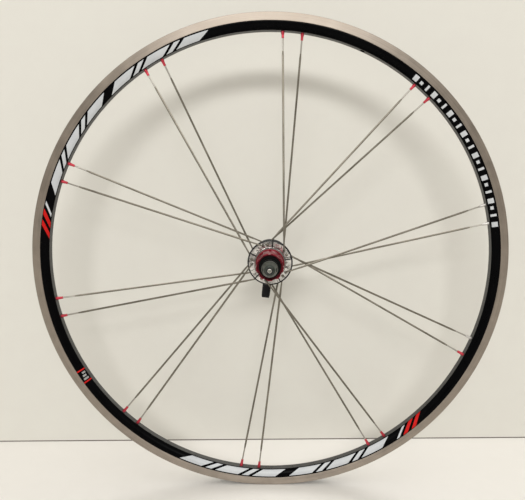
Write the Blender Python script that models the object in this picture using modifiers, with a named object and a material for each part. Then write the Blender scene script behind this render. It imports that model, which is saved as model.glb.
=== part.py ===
"""Rear road-bicycle wheel: rim, twenty paired bladed spokes, hub, bare freehub and quick-release skewer.

Every piece is modelled in the wheel's own frame: x to the right, y up, and z along the axle towards the
drive side, with z = 0 on the rim's centre plane. The empty "wheel_frame" turns that frame so that the
axle lies along world Y, with the drive side facing -Y. Sizes are in millimetres and become metres when a
mesh is made. Angles around the axle are clockwise from straight up, as seen from the drive side.
"""

import math

import bmesh
import bpy
from mathutils import Matrix, Vector

MM = 0.001
GAP = 0.3  # play between pieces that touch on the real wheel
RUNNING_GAP = 0.5  # play between pieces that turn or slide past each other
THROUGH = 2.0  # how far a cutter runs past the face it opens
MERGE = 0.00001

# Rim
RIM_RADIUS = 316.5
RIM_HALF_WIDTH = 9.75
RIM_DEPTH = 20.7
BRAKE_TRACK = 10.3
BEAD_SEAT_DEPTH = 5.5
TYRE_HALF_WIDTH = 7.5
RIM_LIP = 2.0
WELL_DEPTH = 3.8
WELL_WALL = 1.5
WELL_HALF_WIDTH = 5.2
SIDE_WALL = 1.6
BED_WALL = 2.0
BED_HALF_WIDTH = 3.4
BAND_CORNER = (3.2, 9.0)  # above the bed: where the black side would have its corner, were it not round
BAND_END = (0.1, 4.4)
BAND_STEPS = 4
RIM_SEGMENTS = 60
ACCESS_HOLE_RADIUS = 4.3
VALVE_HOLE_RADIUS = 3.2
HOLE_SIDES = 8
EDGE_STEP = 0.4
WELL_SLOPE = 0.6
HOOK_HEIGHT = 3.6
HOOK_NOSE_HEIGHT = 1.2
HOOK_NOSE = 0.8
HOLLOW_CORNER = (4.7, 6.3)

# Spokes and nipples
PAIR_COUNT = 10
PAIR_PITCH = 360.0 / PAIR_COUNT
PAIR_PHASE = 5.57
PAIR_SPLIT = 4.89
SPOKE_RADIUS = 1.0
BLADE_HALF_WIDTH = 1.3
BLADE_HALF_THICKNESS = 0.5
BUTT_LENGTH = 16.0
BLADE_FADE = 6.0
SPOKE_HEAD_RADIUS = SPOKE_RADIUS + 0.9
SPOKE_HEAD_THICKNESS = 1.0
ELBOW_RADIUS = SPOKE_RADIUS + 0.9
SPOKE_HOLE_RADIUS = SPOKE_RADIUS + 0.4
SPOKE_IN_NIPPLE = 1.0
SPOKE_SIDES = 6
ELBOW_STEPS = 3
NIPPLE_RADIUS = SPOKE_RADIUS + 1.2
NIPPLE_TIP_RADIUS = SPOKE_RADIUS + 0.7
NIPPLE_REACH = 10.1
NIPPLE_HEAD_RADIUS = NIPPLE_RADIUS + 0.8
NIPPLE_HEAD_THICKNESS = 2.6
NIPPLE_HOLE_RADIUS = NIPPLE_RADIUS + 0.4

# Hub shell
DRIVE_FLANGE_FACE = 16.0
FAR_FLANGE_FACE = -34.75
FLANGE_THICKNESS = 3.5
FLANGE_EDGE = 0.5
DRIVE_FLANGE_RADIUS = 29.9
FAR_FLANGE_RADIUS = 27.0
DRIVE_HOLE_CIRCLE = 24.0
FAR_HOLE_CIRCLE = 22.0
DRIVE_LACING_ANGLE = 46.8
FAR_LACING_ANGLE = 48.8
MOUTH_FACE = 19.0
MOUTH_WALL = 2.4
BARREL_RADIUS = 13.5
FAR_BARREL_RADIUS = 17.0
SHELL_FAR_END = -48.0
NOTCH_COUNT = 5
NOTCH_PHASE = 7.5
NOTCH_WIDTH = 2.0
NOTCH_DEPTH = 1.2
HUB_SEGMENTS = 30
MOUTH_FILLET = (0.8, 1.5)
BARREL_TAPER = 10.0
FAR_BARREL_TAPER = 3.0
BARREL_SHOULDER = 1.0
SHELL_END_RECESS = 1.0

# Axle, bearings and end caps
AXLE_RADIUS = 7.5
BEARING_RADIUS = 13.0
BEARING_WIDTH = 7.0
BEARING_SHOULDER_RADIUS = BEARING_RADIUS - 2.5
INNER_RING_RADIUS = 9.2
OVER_LOCKNUTS = 130.0
DROPOUT_STUB_RADIUS = 5.0
DROPOUT_STUB_LENGTH = 5.0
END_CAP_RADIUS = 10.5
END_CAP_FLANGE = 3.2
AXLE_SOCKET_DEPTH = 2.5
SEAL_RADIUS = 12.2
SEAL_THICKNESS = 2.0
SEAL_GAP = 0.8
CAP_SLOPE = 0.8
AXLE_WALL_CLEARANCE = 0.2
TURNED_SEGMENTS = 24
BEARING_SEGMENTS = 20

# Freehub and ratchets
FREEHUB_END = 59.8
FREEHUB_RADIUS = 17.25
SPLINE_LENGTH = 35.8
SPLINE_DEPTH = 1.3
SPLINE_COUNT = 9
SPLINE_GROOVE_WIDTH = 5.4
NARROW_GROOVE_WIDTH = 3.4
COLLAR_RADIUS = 18.8
COLLAR_THICKNESS = 4.4
LOCKRING_BORE_RADIUS = 15.2
LOCKRING_BORE_DEPTH = 4.3
BOSS_LENGTH = 4.2
BOSS_WALL = 2.4
BEARING_SHOULDER = 2.0
CHAMBER_RING = 0.8  # how far the shell's mouth stands out past the freehub's collar
DUST_SEAL_RADIUS = BEARING_RADIUS + 1.0
DUST_SEAL_BORE = 9.8
DUST_SEAL_THICKNESS = 1.0
RATCHET_TEETH = 18
RATCHET_BORE_RADIUS = 9.5
RATCHET_RING = 3.2
RATCHET_TOOTH = 1.0
RATCHET_CLEARANCE = 0.5
RATCHET_FLANK = 0.12  # share of a tooth's pitch taken by its steep side

# Quick-release skewer
SKEWER_RADIUS = 2.5
DROPOUT_SLOT = 6.0
NUT_RADIUS = 10.0
NUT_SKIRT = 4.5
NUT_LENGTH = 18.2
NUT_TIP_RADIUS = 5.4
NUT_INSERT_RADIUS = SKEWER_RADIUS + 1.6
NUT_INSERT_LENGTH = 4.2
NUT_SCALLOP_RADIUS = 4.0
NUT_SCALLOP_OFFSET = 11.2
NUT_TIP_CHAMFER = (1.2, 1.4)
NUT_TAPER = (2.4, 6.0)
NUT_SHOULDER = (0.8, 2.5)
SCALLOP_FLOOR = 2.0
ROD_PAST_NUT = 1.3
SPRING_RECESS_RADIUS = 7.8
SPRING_RECESS_DEPTH = 6.0
SPRING_WIRE_RADIUS = 0.4
SPRING_TURNS = 2.5
SPRING_POINTS_PER_TURN = 10
SPRING_SMALL_RADIUS = SKEWER_RADIUS + 1.4
CUP_RADIUS = 10.0
CUP_BACK_RADIUS = 8.6
CUP_LENGTH = 8.0
CAM_RADIUS = 7.5
CAM_OFFSET = 0.8
CAM_CLEARANCE = 0.4
LEVER_ANGLE = 186.8
LEVER_LENGTH = 67.5
LEVER_WIDTH = 12.4
LEVER_HEAD_WIDTH = 15.0
LEVER_ROOT_THICKNESS = 5.5
LEVER_TIP_THICKNESS = 3.4
LEVER_SWEEP = 7.0
LEVER_ROOT_HEIGHT = -2.2
LEVER_STEPS = 7
LEVER_OVERLAP = 1.0
ROUND_SIDES = 24
EYE_SIDES = 16
PIN_SIDES = 12
FORK_CLEARANCE = 0.4
PIN_RADIUS = 2.0
EYE_RADIUS = 4.6
EYE_WIDTH = 2 * SKEWER_RADIUS + 0.2
FORK_FLOOR = 5.6

BED_RADIUS = RIM_RADIUS - RIM_DEPTH
BEAD_SEAT_RADIUS = RIM_RADIUS - BEAD_SEAT_DEPTH
HALF_AXLE = OVER_LOCKNUTS / 2
SPLINE_START = FREEHUB_END - SPLINE_LENGTH
COLLAR_BACK = SPLINE_START - COLLAR_THICKNESS
BORE_RADIUS = BEARING_RADIUS + GAP
CHAMBER_RADIUS = COLLAR_RADIUS + CHAMBER_RING - MOUTH_WALL
NUT_FACE = HALF_AXLE + DROPOUT_SLOT
CUP_BACK = -NUT_FACE - CUP_LENGTH
PIN_HEIGHT = CUP_BACK - CAM_CLEARANCE - CAM_RADIUS - CAM_OFFSET

SILVER = ((0.62, 0.61, 0.59), 1.0, 0.35)
STEEL = ((0.45, 0.44, 0.42), 1.0, 0.3)
BLACK_PAINT = ((0.01, 0.01, 0.012), 0.0, 0.3)
RED_ANODISED = ((0.45, 0.02, 0.03), 0.9, 0.35)
BLACK_RUBBER = ((0.012, 0.012, 0.012), 0.0, 0.6)
GREY_METAL = ((0.25, 0.26, 0.26), 0.9, 0.4)
NYLON = ((0.02, 0.02, 0.02), 0.0, 0.5)


def clear_scene():
    for obj in list(bpy.data.objects):
        bpy.data.objects.remove(obj, do_unlink=True)


def make_collection(name):
    collection = bpy.data.collections.new(name)
    bpy.context.scene.collection.children.link(collection)
    return collection


def material(name, look):
    colour, metallic, roughness = look
    made = bpy.data.materials.new(name)
    made.use_nodes = True
    shader = made.node_tree.nodes["Principled BSDF"]
    shader.inputs["Base Color"].default_value = (*colour, 1.0)
    shader.inputs["Metallic"].default_value = metallic
    shader.inputs["Roughness"].default_value = roughness
    return made


def add_object(name, data, look, place=None):
    """Links a new object into the wheel's collection. place is its matrix in the wheel's frame, in mm."""
    obj = bpy.data.objects.new(name, data)
    WHEEL.objects.link(obj)
    obj.parent = FRAME
    obj.matrix_basis = in_metres(place or Matrix())
    data.materials.append(material(name, look))
    return obj


def in_metres(place):
    moved = place.copy()
    moved.translation = moved.translation * MM
    return moved


def around(angle, radius, z=0.0):
    """A point at a clock angle around the axle."""
    turn = math.radians(angle)
    return Vector((radius * math.sin(turn), radius * math.cos(turn), z))


def clock(angle):
    """The turn about z that brings +y to a clock angle."""
    return Matrix.Rotation(-math.radians(angle), 4, "Z")


def turned(name, loops, look, segments, place=None):
    """A turned shape. Each loop lists (radius, z): the first is the outer one, the rest are hollows in it."""
    mesh = bpy.data.meshes.new(name)
    bm = bmesh.new()
    for index, loop in enumerate(loops):
        area = sum(a[0] * b[1] - b[0] * a[1] for a, b in zip(loop, loop[1:] + loop[:1]))
        down_the_outside = loop if (area < 0) == (index == 0) else loop[::-1]
        verts = [bm.verts.new((r * MM, 0.0, z * MM)) for r, z in down_the_outside]
        for a, b in zip(verts, verts[1:] + verts[:1]):
            if a.co.x > 0 or b.co.x > 0:
                bm.edges.new((a, b))
    bm.to_mesh(mesh)
    bm.free()
    obj = add_object(name, mesh, look, place)
    screw = obj.modifiers.new("turn", "SCREW")
    screw.axis = "Z"
    screw.steps = segments
    screw.render_steps = segments
    screw.use_merge_vertices = True
    screw.merge_threshold = MERGE
    return obj


def ring(name, inner, outer, bottom, top, look, segments):
    return turned(name, [[(inner, top), (outer, top), (outer, bottom), (inner, bottom)]], look, segments)


def loft(name, rings, look):
    """Joins rings of points, all of one length, into a closed skin."""
    mesh = bpy.data.meshes.new(name)
    bm = bmesh.new()
    rows = [[bm.verts.new(p * MM) for p in points] for points in rings]
    for low, high in zip(rows, rows[1:]):
        for i in range(len(low)):
            j = (i + 1) % len(low)
            bm.faces.new((low[i], low[j], high[j], high[i]))
    bm.faces.new(rows[0])
    bm.faces.new(rows[-1])
    bmesh.ops.recalc_face_normals(bm, faces=bm.faces)
    bm.to_mesh(mesh)
    bm.free()
    obj = add_object(name, mesh, look)
    mesh.shade_smooth()
    return obj


def cylinder(bm, radius, depth, place, sides):
    """Adds a cylinder along the z of place, centred there."""
    bmesh.ops.create_cone(
        bm,
        cap_ends=True,
        segments=sides,
        radius1=radius * MM,
        radius2=radius * MM,
        depth=depth * MM,
        matrix=in_metres(place),
    )


def block(bm, low, high, place=None):
    """Adds a box from its low corner to its high one, in the frame of place."""
    low, high = Vector(low), Vector(high)
    size = Matrix.Diagonal((*((high - low) * MM), 1.0))
    bmesh.ops.create_cube(
        bm, size=1.0, matrix=in_metres((place or Matrix()) @ Matrix.Translation((low + high) / 2)) @ size
    )


def cut(obj, label, build, operation="DIFFERENCE"):
    """Cuts obj by the shapes that build adds to a bmesh, or joins them to it, in obj's own frame."""
    mesh = bpy.data.meshes.new(obj.name + label)
    bm = bmesh.new()
    build(bm)
    bm.to_mesh(mesh)
    bm.free()
    tool = bpy.data.objects.new(mesh.name, mesh)
    CUTTERS.objects.link(tool)
    tool.parent = obj.parent
    tool.matrix_basis = obj.matrix_basis.copy()
    tool.hide_render = True
    tool.display_type = "WIRE"
    boolean = obj.modifiers.new(label, "BOOLEAN")
    boolean.operation = operation
    boolean.object = tool
    boolean.solver = "EXACT"


def mirrored(half):
    """A closed outline from its half on the +z side."""
    return half + [(r, -z) for r, z in reversed(half)]


def band_curve():
    """The rim's black side in section, from under the brake track round to the spoke bed."""
    start = Vector((RIM_RADIUS - BRAKE_TRACK - EDGE_STEP, RIM_HALF_WIDTH - GAP))
    corner = Vector((BED_RADIUS + BAND_CORNER[0], BAND_CORNER[1]))
    end = Vector((BED_RADIUS + BAND_END[0], BAND_END[1]))
    points = []
    for step in range(BAND_STEPS + 1):
        t = step / BAND_STEPS
        points.append(tuple(start * (1 - t) ** 2 + corner * 2 * t * (1 - t) + end * t**2))
    return points


def make_rim():
    seat = BEAD_SEAT_RADIUS
    well = seat - WELL_DEPTH
    track = RIM_RADIUS - BRAKE_TRACK
    outer = mirrored(
        [
            (well, WELL_HALF_WIDTH - EDGE_STEP),
            (seat - EDGE_STEP, WELL_HALF_WIDTH + WELL_SLOPE),
            (seat, TYRE_HALF_WIDTH),
            (RIM_RADIUS - HOOK_HEIGHT, TYRE_HALF_WIDTH),
            (RIM_RADIUS - HOOK_NOSE_HEIGHT, RIM_HALF_WIDTH - RIM_LIP - HOOK_NOSE),
            (RIM_RADIUS, RIM_HALF_WIDTH - RIM_LIP),
            (RIM_RADIUS, RIM_HALF_WIDTH),
            (track, RIM_HALF_WIDTH),
            *band_curve(),
            (BED_RADIUS, BED_HALF_WIDTH),
        ]
    )
    hollow = mirrored(
        [
            (well - WELL_WALL, WELL_HALF_WIDTH - 2 * EDGE_STEP),
            (track - HOOK_NOSE_HEIGHT, RIM_HALF_WIDTH - GAP - SIDE_WALL),
            (BED_RADIUS + HOLLOW_CORNER[0], HOLLOW_CORNER[1]),
            (BED_RADIUS + BED_WALL, BED_HALF_WIDTH),
        ]
    )
    rim = turned("rim", [outer, hollow], SILVER, RIM_SEGMENTS)

    def holes(bm):
        top = RIM_RADIUS - well + THROUGH
        for spoke in SPOKES:
            hole = spoke["nipple_place"]
            cylinder(bm, NIPPLE_HOLE_RADIUS, 3 * BED_WALL, hole, HOLE_SIDES)
            access = hole @ Matrix.Translation((0, 0, well - BED_RADIUS - WELL_WALL - BED_WALL + top / 2))
            cylinder(bm, ACCESS_HOLE_RADIUS, top, access, HOLE_SIDES)
        valve = clock(valve_angle()) @ Matrix.Rotation(-math.pi / 2, 4, "X")
        centre = valve @ Matrix.Translation((0, 0, (BED_RADIUS + RIM_RADIUS) / 2))
        cylinder(bm, VALVE_HOLE_RADIUS, RIM_DEPTH + 2 * THROUGH, centre, HOLE_SIDES)

    cut(rim, "_holes", holes)


def valve_angle():
    """The valve hole lies midway between two pairs of spokes."""
    return PAIR_PHASE + PAIR_PITCH / 2


def spoke_frame(corner, end):
    """Axes of a straight spoke: its direction, the axis across it in the wheel's plane, and its thin axis."""
    along = (end - corner).normalized()
    across = Vector((0, 0, 1)).cross(along).normalized()
    return along, across, along.cross(across)


def plan_spokes():
    """Where each spoke runs. One of each pair goes to each flange, and the pairs lean to alternate sides."""
    spokes = []
    for pair in range(PAIR_COUNT):
        lean = 1 if pair % 2 == 0 else -1
        for side in (1, -1):
            drive = side == 1
            nipple_angle = PAIR_PHASE + pair * PAIR_PITCH - side * PAIR_SPLIT / 2
            lacing = DRIVE_LACING_ANGLE if drive else FAR_LACING_ANGLE
            circle = DRIVE_HOLE_CIRCLE if drive else FAR_HOLE_CIRCLE
            face = DRIVE_FLANGE_FACE if drive else FAR_FLANGE_FACE
            outside = (lean == 1) == drive
            # a spoke on the outside of its flange leaves the outer face; its head is on the inner one
            exit_face = face if outside else face - side * FLANGE_THICKNESS
            head_face = face - side * FLANGE_THICKNESS if outside else face
            out = side if outside else -side
            hole = around(nipple_angle + lean * lacing, circle)
            corner = hole + Vector((0, 0, exit_face + out * ELBOW_RADIUS))
            end = around(nipple_angle, BED_RADIUS + BED_WALL / 2)
            along, across, thin = spoke_frame(corner, end)
            place = Matrix((across, thin, along)).transposed().to_4x4()
            place.translation = end
            spokes.append(
                {
                    "hole": hole,
                    "face": face,
                    "side": side,
                    "out": out,
                    "head_face": head_face,
                    "corner": corner,
                    "end": end,
                    "along": along,
                    "across": across,
                    "nipple_place": place,
                }
            )
    return spokes


def make_spoke(number, spoke):
    out = Vector((0, 0, spoke["out"]))
    along, across = spoke["along"], spoke["across"]
    corner, end = spoke["corner"], spoke["end"]
    bend = out.angle(along)
    leg = ELBOW_RADIUS * math.tan(bend / 2)
    rings = []

    def station(centre, direction, half_width, half_thickness):
        thin = direction.cross(across)
        corners = [2 * math.pi * i / SPOKE_SIDES for i in range(SPOKE_SIDES)]
        rings.append(
            [
                centre + across * half_width * math.cos(a) + thin * half_thickness * math.sin(a)
                for a in corners
            ]
        )

    def round_station(centre, direction, radius):
        station(centre, direction, radius, radius)

    under_head = spoke["hole"] + Vector((0, 0, spoke["head_face"])) - out * GAP
    round_station(under_head - out * SPOKE_HEAD_THICKNESS, out, SPOKE_HEAD_RADIUS)
    round_station(under_head, out, SPOKE_HEAD_RADIUS)
    round_station(under_head + out * GAP, out, SPOKE_RADIUS)
    centre = corner - out * leg + (along - out * along.dot(out)).normalized() * ELBOW_RADIUS
    start = corner - out * leg - centre
    axis = out.cross(along).normalized()
    for step in range(ELBOW_STEPS + 1):
        turn = Matrix.Rotation(bend * step / ELBOW_STEPS, 3, axis)
        round_station(centre + turn @ start, turn @ out, SPOKE_RADIUS)
    length = (end - corner).length
    tip = length + SPOKE_IN_NIPPLE
    blade_end = length - NIPPLE_REACH - BUTT_LENGTH
    round_station(corner + along * BUTT_LENGTH, along, SPOKE_RADIUS)
    for distance in (BUTT_LENGTH + BLADE_FADE, blade_end - BLADE_FADE):
        station(corner + along * distance, along, BLADE_HALF_WIDTH, BLADE_HALF_THICKNESS)
    round_station(corner + along * blade_end, along, SPOKE_RADIUS)
    round_station(corner + along * tip, along, SPOKE_RADIUS)
    loft(f"spoke_{number:02d}", rings, STEEL)


def make_nipple(number, spoke):
    bore = SPOKE_RADIUS + GAP
    under_head = BED_WALL / 2 + 2 * GAP
    profile = [
        (bore, under_head + NIPPLE_HEAD_THICKNESS),
        (NIPPLE_HEAD_RADIUS, under_head + NIPPLE_HEAD_THICKNESS),
        (NIPPLE_HEAD_RADIUS, under_head),
        (NIPPLE_RADIUS, under_head - GAP),
        (NIPPLE_TIP_RADIUS, -NIPPLE_REACH),
        (bore, -NIPPLE_REACH),
    ]
    turned(f"nipple_{number:02d}", [profile], RED_ANODISED, SPOKE_SIDES, spoke["nipple_place"])


def shell_bearing_bottom():
    """The drive-side shell bearing sits just under the ratchet chamber."""
    ratchets = RATCHET_CLEARANCE + 2 * RATCHET_TOOTH + RATCHET_RING
    return MOUTH_FACE - BOSS_LENGTH - ratchets - BEARING_WIDTH - 3 * GAP


def make_hub_shell():
    chamber_floor = shell_bearing_bottom() + BEARING_WIDTH + GAP
    shoulder = shell_bearing_bottom() - GAP
    mouth = CHAMBER_RADIUS + MOUTH_WALL
    far_seat = SHELL_FAR_END + BEARING_WIDTH + SHELL_END_RECESS + 2 * GAP
    drive_back = DRIVE_FLANGE_FACE - FLANGE_THICKNESS
    far_front = FAR_FLANGE_FACE + FLANGE_THICKNESS
    profile = [
        (CHAMBER_RADIUS, MOUTH_FACE),
        (mouth, MOUTH_FACE),
        (mouth, DRIVE_FLANGE_FACE),
        (DRIVE_FLANGE_RADIUS - FLANGE_EDGE, DRIVE_FLANGE_FACE),
        (DRIVE_FLANGE_RADIUS, DRIVE_FLANGE_FACE - FLANGE_EDGE),
        (DRIVE_FLANGE_RADIUS, drive_back + FLANGE_EDGE),
        (DRIVE_FLANGE_RADIUS - FLANGE_EDGE, drive_back),
        (mouth + MOUTH_FILLET[0], drive_back),
        (mouth, drive_back - MOUTH_FILLET[1]),
        (mouth, shoulder - BARREL_SHOULDER),
        (BARREL_RADIUS, shoulder - BARREL_TAPER),
        (BARREL_RADIUS, far_front + BARREL_TAPER),
        (FAR_BARREL_RADIUS, far_front + FAR_BARREL_TAPER),
        (FAR_BARREL_RADIUS, far_front),
        (FAR_FLANGE_RADIUS - FLANGE_EDGE, far_front),
        (FAR_FLANGE_RADIUS, far_front - FLANGE_EDGE),
        (FAR_FLANGE_RADIUS, FAR_FLANGE_FACE + FLANGE_EDGE),
        (FAR_FLANGE_RADIUS - FLANGE_EDGE, FAR_FLANGE_FACE),
        (FAR_BARREL_RADIUS, FAR_FLANGE_FACE),
        (FAR_BARREL_RADIUS, SHELL_FAR_END),
        (BORE_RADIUS, SHELL_FAR_END),
        (BORE_RADIUS, far_seat),
        (BEARING_SHOULDER_RADIUS, far_seat),
        (BEARING_SHOULDER_RADIUS, shoulder),
        (BORE_RADIUS, shoulder),
        (BORE_RADIUS, chamber_floor),
        (CHAMBER_RADIUS, chamber_floor),
    ]
    shell = turned("hub_shell", [profile], SILVER, HUB_SEGMENTS)

    def holes(bm):
        for spoke in SPOKES:
            middle = spoke["hole"] + Vector((0, 0, spoke["face"] - spoke["side"] * FLANGE_THICKNESS / 2))
            depth = FLANGE_THICKNESS + 2 * THROUGH
            cylinder(bm, SPOKE_HOLE_RADIUS, depth, Matrix.Translation(middle), HOLE_SIDES)
        for notch in range(NOTCH_COUNT):
            block(
                bm,
                (-NOTCH_WIDTH / 2, mouth + GAP, DRIVE_FLANGE_FACE - NOTCH_DEPTH),
                (NOTCH_WIDTH / 2, DRIVE_FLANGE_RADIUS + THROUGH, DRIVE_FLANGE_FACE + THROUGH),
                clock(NOTCH_PHASE + notch * 360.0 / NOTCH_COUNT),
            )

    cut(shell, "_holes", holes)
    return chamber_floor


def make_bearing(name, bottom):
    top = bottom + BEARING_WIDTH
    ring(name, AXLE_RADIUS + GAP, BEARING_RADIUS, bottom, top, BLACK_RUBBER, BEARING_SEGMENTS)


def make_sealed_bearing(name, bottom, seal_bottom):
    """A bearing with the dust seal that closes the freehub's open end around the end cap."""
    bore = AXLE_RADIUS + GAP
    profile = [
        (bore, bottom),
        (BEARING_RADIUS, bottom),
        (BEARING_RADIUS, seal_bottom),
        (DUST_SEAL_RADIUS, seal_bottom),
        (DUST_SEAL_RADIUS, seal_bottom + DUST_SEAL_THICKNESS),
        (DUST_SEAL_BORE, seal_bottom + DUST_SEAL_THICKNESS),
        (DUST_SEAL_BORE, bottom + BEARING_WIDTH),
        (bore, bottom + BEARING_WIDTH),
    ]
    turned(name, [profile], BLACK_RUBBER, BEARING_SEGMENTS)


def make_ratchet(name, outer, teeth_at, facing):
    """A ring with saw teeth on one face. teeth_at is their tips' height, and facing the way they point."""
    base = teeth_at - facing * (RATCHET_TOOTH + RATCHET_RING)
    rings = []
    for tooth in range(RATCHET_TEETH):
        for share, height in ((0.0, teeth_at), (RATCHET_FLANK, teeth_at - facing * RATCHET_TOOTH)):
            angle = 360.0 * (tooth + share) / RATCHET_TEETH
            rings.append(
                [
                    around(angle, RATCHET_BORE_RADIUS, base),
                    around(angle, outer, base),
                    around(angle, outer, height),
                    around(angle, RATCHET_BORE_RADIUS, height),
                ]
            )
    mesh = bpy.data.meshes.new(name)
    bm = bmesh.new()
    rows = [[bm.verts.new(p * MM) for p in points] for points in rings]
    for low, high in zip(rows, rows[1:] + rows[:1]):
        for i in range(4):
            j = (i + 1) % 4
            bm.faces.new((low[i], low[j], high[j], high[i]))
    bmesh.ops.recalc_face_normals(bm, faces=bm.faces)
    bm.to_mesh(mesh)
    bm.free()
    add_object(name, mesh, STEEL)


def make_freehub(boss_bottom):
    boss_top = COLLAR_BACK + GAP
    boss_outer = CHAMBER_RADIUS - RUNNING_GAP
    boss_inner = boss_outer - BOSS_WALL
    bearing_bottom = boss_top + RATCHET_RING + BEARING_SHOULDER
    lockring_floor = FREEHUB_END - LOCKRING_BORE_DEPTH
    profile = [
        (LOCKRING_BORE_RADIUS, FREEHUB_END),
        (FREEHUB_RADIUS, FREEHUB_END),
        (FREEHUB_RADIUS, SPLINE_START),
        (COLLAR_RADIUS, SPLINE_START),
        (COLLAR_RADIUS, COLLAR_BACK),
        (boss_outer, COLLAR_BACK),
        (boss_outer, boss_bottom),
        (boss_inner, boss_bottom),
        (boss_inner, bearing_bottom - BEARING_SHOULDER),
        (BEARING_SHOULDER_RADIUS, bearing_bottom - BEARING_SHOULDER),
        (BEARING_SHOULDER_RADIUS, bearing_bottom),
        (BORE_RADIUS, bearing_bottom),
        (BORE_RADIUS, lockring_floor),
        (LOCKRING_BORE_RADIUS, lockring_floor),
    ]
    body = turned("freehub_body", [profile], RED_ANODISED, HUB_SEGMENTS)

    def grooves(bm):
        for groove in range(SPLINE_COUNT):
            width = NARROW_GROOVE_WIDTH if groove == 0 else SPLINE_GROOVE_WIDTH
            block(
                bm,
                (-width / 2, FREEHUB_RADIUS - SPLINE_DEPTH, SPLINE_START),
                (width / 2, FREEHUB_RADIUS + THROUGH, FREEHUB_END + THROUGH),
                clock(groove * 360.0 / SPLINE_COUNT),
            )

    cut(body, "_grooves", grooves)
    make_bearing("bearing_freehub_inner", bearing_bottom + GAP)
    make_sealed_bearing("bearing_freehub_outer", lockring_floor - GAP - BEARING_WIDTH, lockring_floor + GAP)
    return boss_inner, lockring_floor


def end_cap(name, side, inner_face, look):
    """A cap between a bearing's inner ring and the dropout, with a stub that stands in the dropout's slot."""
    axle_end = inner_face + side * AXLE_SOCKET_DEPTH
    face = side * HALF_AXLE
    skewer_bore = SKEWER_RADIUS + RUNNING_GAP
    profile = [
        (skewer_bore, face + side * DROPOUT_STUB_LENGTH),
        (DROPOUT_STUB_RADIUS, face + side * DROPOUT_STUB_LENGTH),
        (DROPOUT_STUB_RADIUS, face),
        (END_CAP_RADIUS, face),
        (END_CAP_RADIUS, face - side * END_CAP_FLANGE),
        (INNER_RING_RADIUS, face - side * (END_CAP_FLANGE + CAP_SLOPE)),
    ]
    if side < 0:
        # the far cap is long, with a seal disc just outside the hub shell
        seal = SHELL_FAR_END - SEAL_GAP
        profile += [
            (INNER_RING_RADIUS, seal - SEAL_THICKNESS),
            (SEAL_RADIUS, seal - SEAL_THICKNESS),
            (SEAL_RADIUS, seal),
            (INNER_RING_RADIUS, seal),
        ]
    profile += [
        (INNER_RING_RADIUS, inner_face),
        (AXLE_RADIUS + GAP, inner_face),
        (AXLE_RADIUS + GAP, axle_end),
        (skewer_bore, axle_end),
    ]
    turned(name, [profile], look, TURNED_SEGMENTS)
    return axle_end - side * GAP


def make_axle_group(drive_cap_face):
    far_bearing_bottom = SHELL_FAR_END + SHELL_END_RECESS + GAP
    make_bearing("bearing_shell_left", far_bearing_bottom)
    make_bearing("bearing_shell_right", shell_bearing_bottom())
    drive_end = end_cap("end_cap_drive", 1, drive_cap_face, GREY_METAL)
    far_end = end_cap("end_cap_nondrive", -1, far_bearing_bottom - GAP, BLACK_PAINT)
    bore = SKEWER_RADIUS + RUNNING_GAP + AXLE_WALL_CLEARANCE
    ring("hub_axle", bore, AXLE_RADIUS, far_end, drive_end, GREY_METAL, TURNED_SEGMENTS)


def make_spring(name, side, small_end, large_end):
    """A conical compression spring on the skewer, small end towards the hub."""
    count = int(SPRING_TURNS * SPRING_POINTS_PER_TURN)
    large = SPRING_RECESS_RADIUS - SPRING_WIRE_RADIUS - GAP
    low = abs(small_end) + SPRING_WIRE_RADIUS + GAP
    high = abs(large_end) - SPRING_WIRE_RADIUS - GAP
    curve = bpy.data.curves.new(name, "CURVE")
    curve.dimensions = "3D"
    curve.bevel_depth = SPRING_WIRE_RADIUS * MM
    curve.bevel_resolution = 1
    curve.use_fill_caps = True
    spline = curve.splines.new("POLY")
    spline.points.add(count)
    for i in range(count + 1):
        share = i / count
        radius = SPRING_SMALL_RADIUS + (large - SPRING_SMALL_RADIUS) * share
        point = around(360.0 * SPRING_TURNS * share, radius, side * (low + (high - low) * share)) * MM
        spline.points[i].co = (*point, 1.0)
    add_object(name, curve, STEEL)


def make_nut():
    tip = NUT_FACE + NUT_LENGTH
    recess_floor = NUT_FACE + SPRING_RECESS_DEPTH
    insert_floor = tip - NUT_INSERT_LENGTH
    bore = SKEWER_RADIUS + RUNNING_GAP
    profile = [
        (NUT_INSERT_RADIUS + GAP, tip),
        (NUT_TIP_RADIUS, tip),
        (NUT_TIP_RADIUS + NUT_TIP_CHAMFER[0], tip - NUT_TIP_CHAMFER[1]),
        (NUT_TIP_RADIUS + NUT_TAPER[0], tip - NUT_TAPER[1]),
        (NUT_RADIUS - NUT_SHOULDER[0], NUT_FACE + NUT_SKIRT + NUT_SHOULDER[1]),
        (NUT_RADIUS, NUT_FACE + NUT_SKIRT),
        (NUT_RADIUS, NUT_FACE),
        (SPRING_RECESS_RADIUS, NUT_FACE),
        (SPRING_RECESS_RADIUS, recess_floor),
        (bore, recess_floor),
        (bore, insert_floor),
        (NUT_INSERT_RADIUS + GAP, insert_floor),
    ]
    nut = turned("skewer_nut", [profile], GREY_METAL, TURNED_SEGMENTS)

    def scallops(bm):
        bottom = recess_floor + SCALLOP_FLOOR
        for side in (-1, 1):
            centre = Vector((side * NUT_SCALLOP_OFFSET, 0, (bottom + tip + THROUGH) / 2))
            cylinder(bm, NUT_SCALLOP_RADIUS, tip + THROUGH - bottom, Matrix.Translation(centre), PIN_SIDES)

    cut(nut, "_scallops", scallops)
    bore = SKEWER_RADIUS + GAP
    ring("nut_insert", bore, NUT_INSERT_RADIUS, insert_floor + GAP, tip - GAP, NYLON, EYE_SIDES)
    make_spring("skewer_spring_drive", 1, HALF_AXLE + DROPOUT_STUB_LENGTH, recess_floor)
    return tip


def across_the_skewer(z=0.0):
    """A frame whose z axis is the lever's pin, at a height above the pin."""
    return Matrix.Translation((0, 0, z)) @ Matrix.Rotation(math.pi / 2, 4, "Y")


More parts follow.
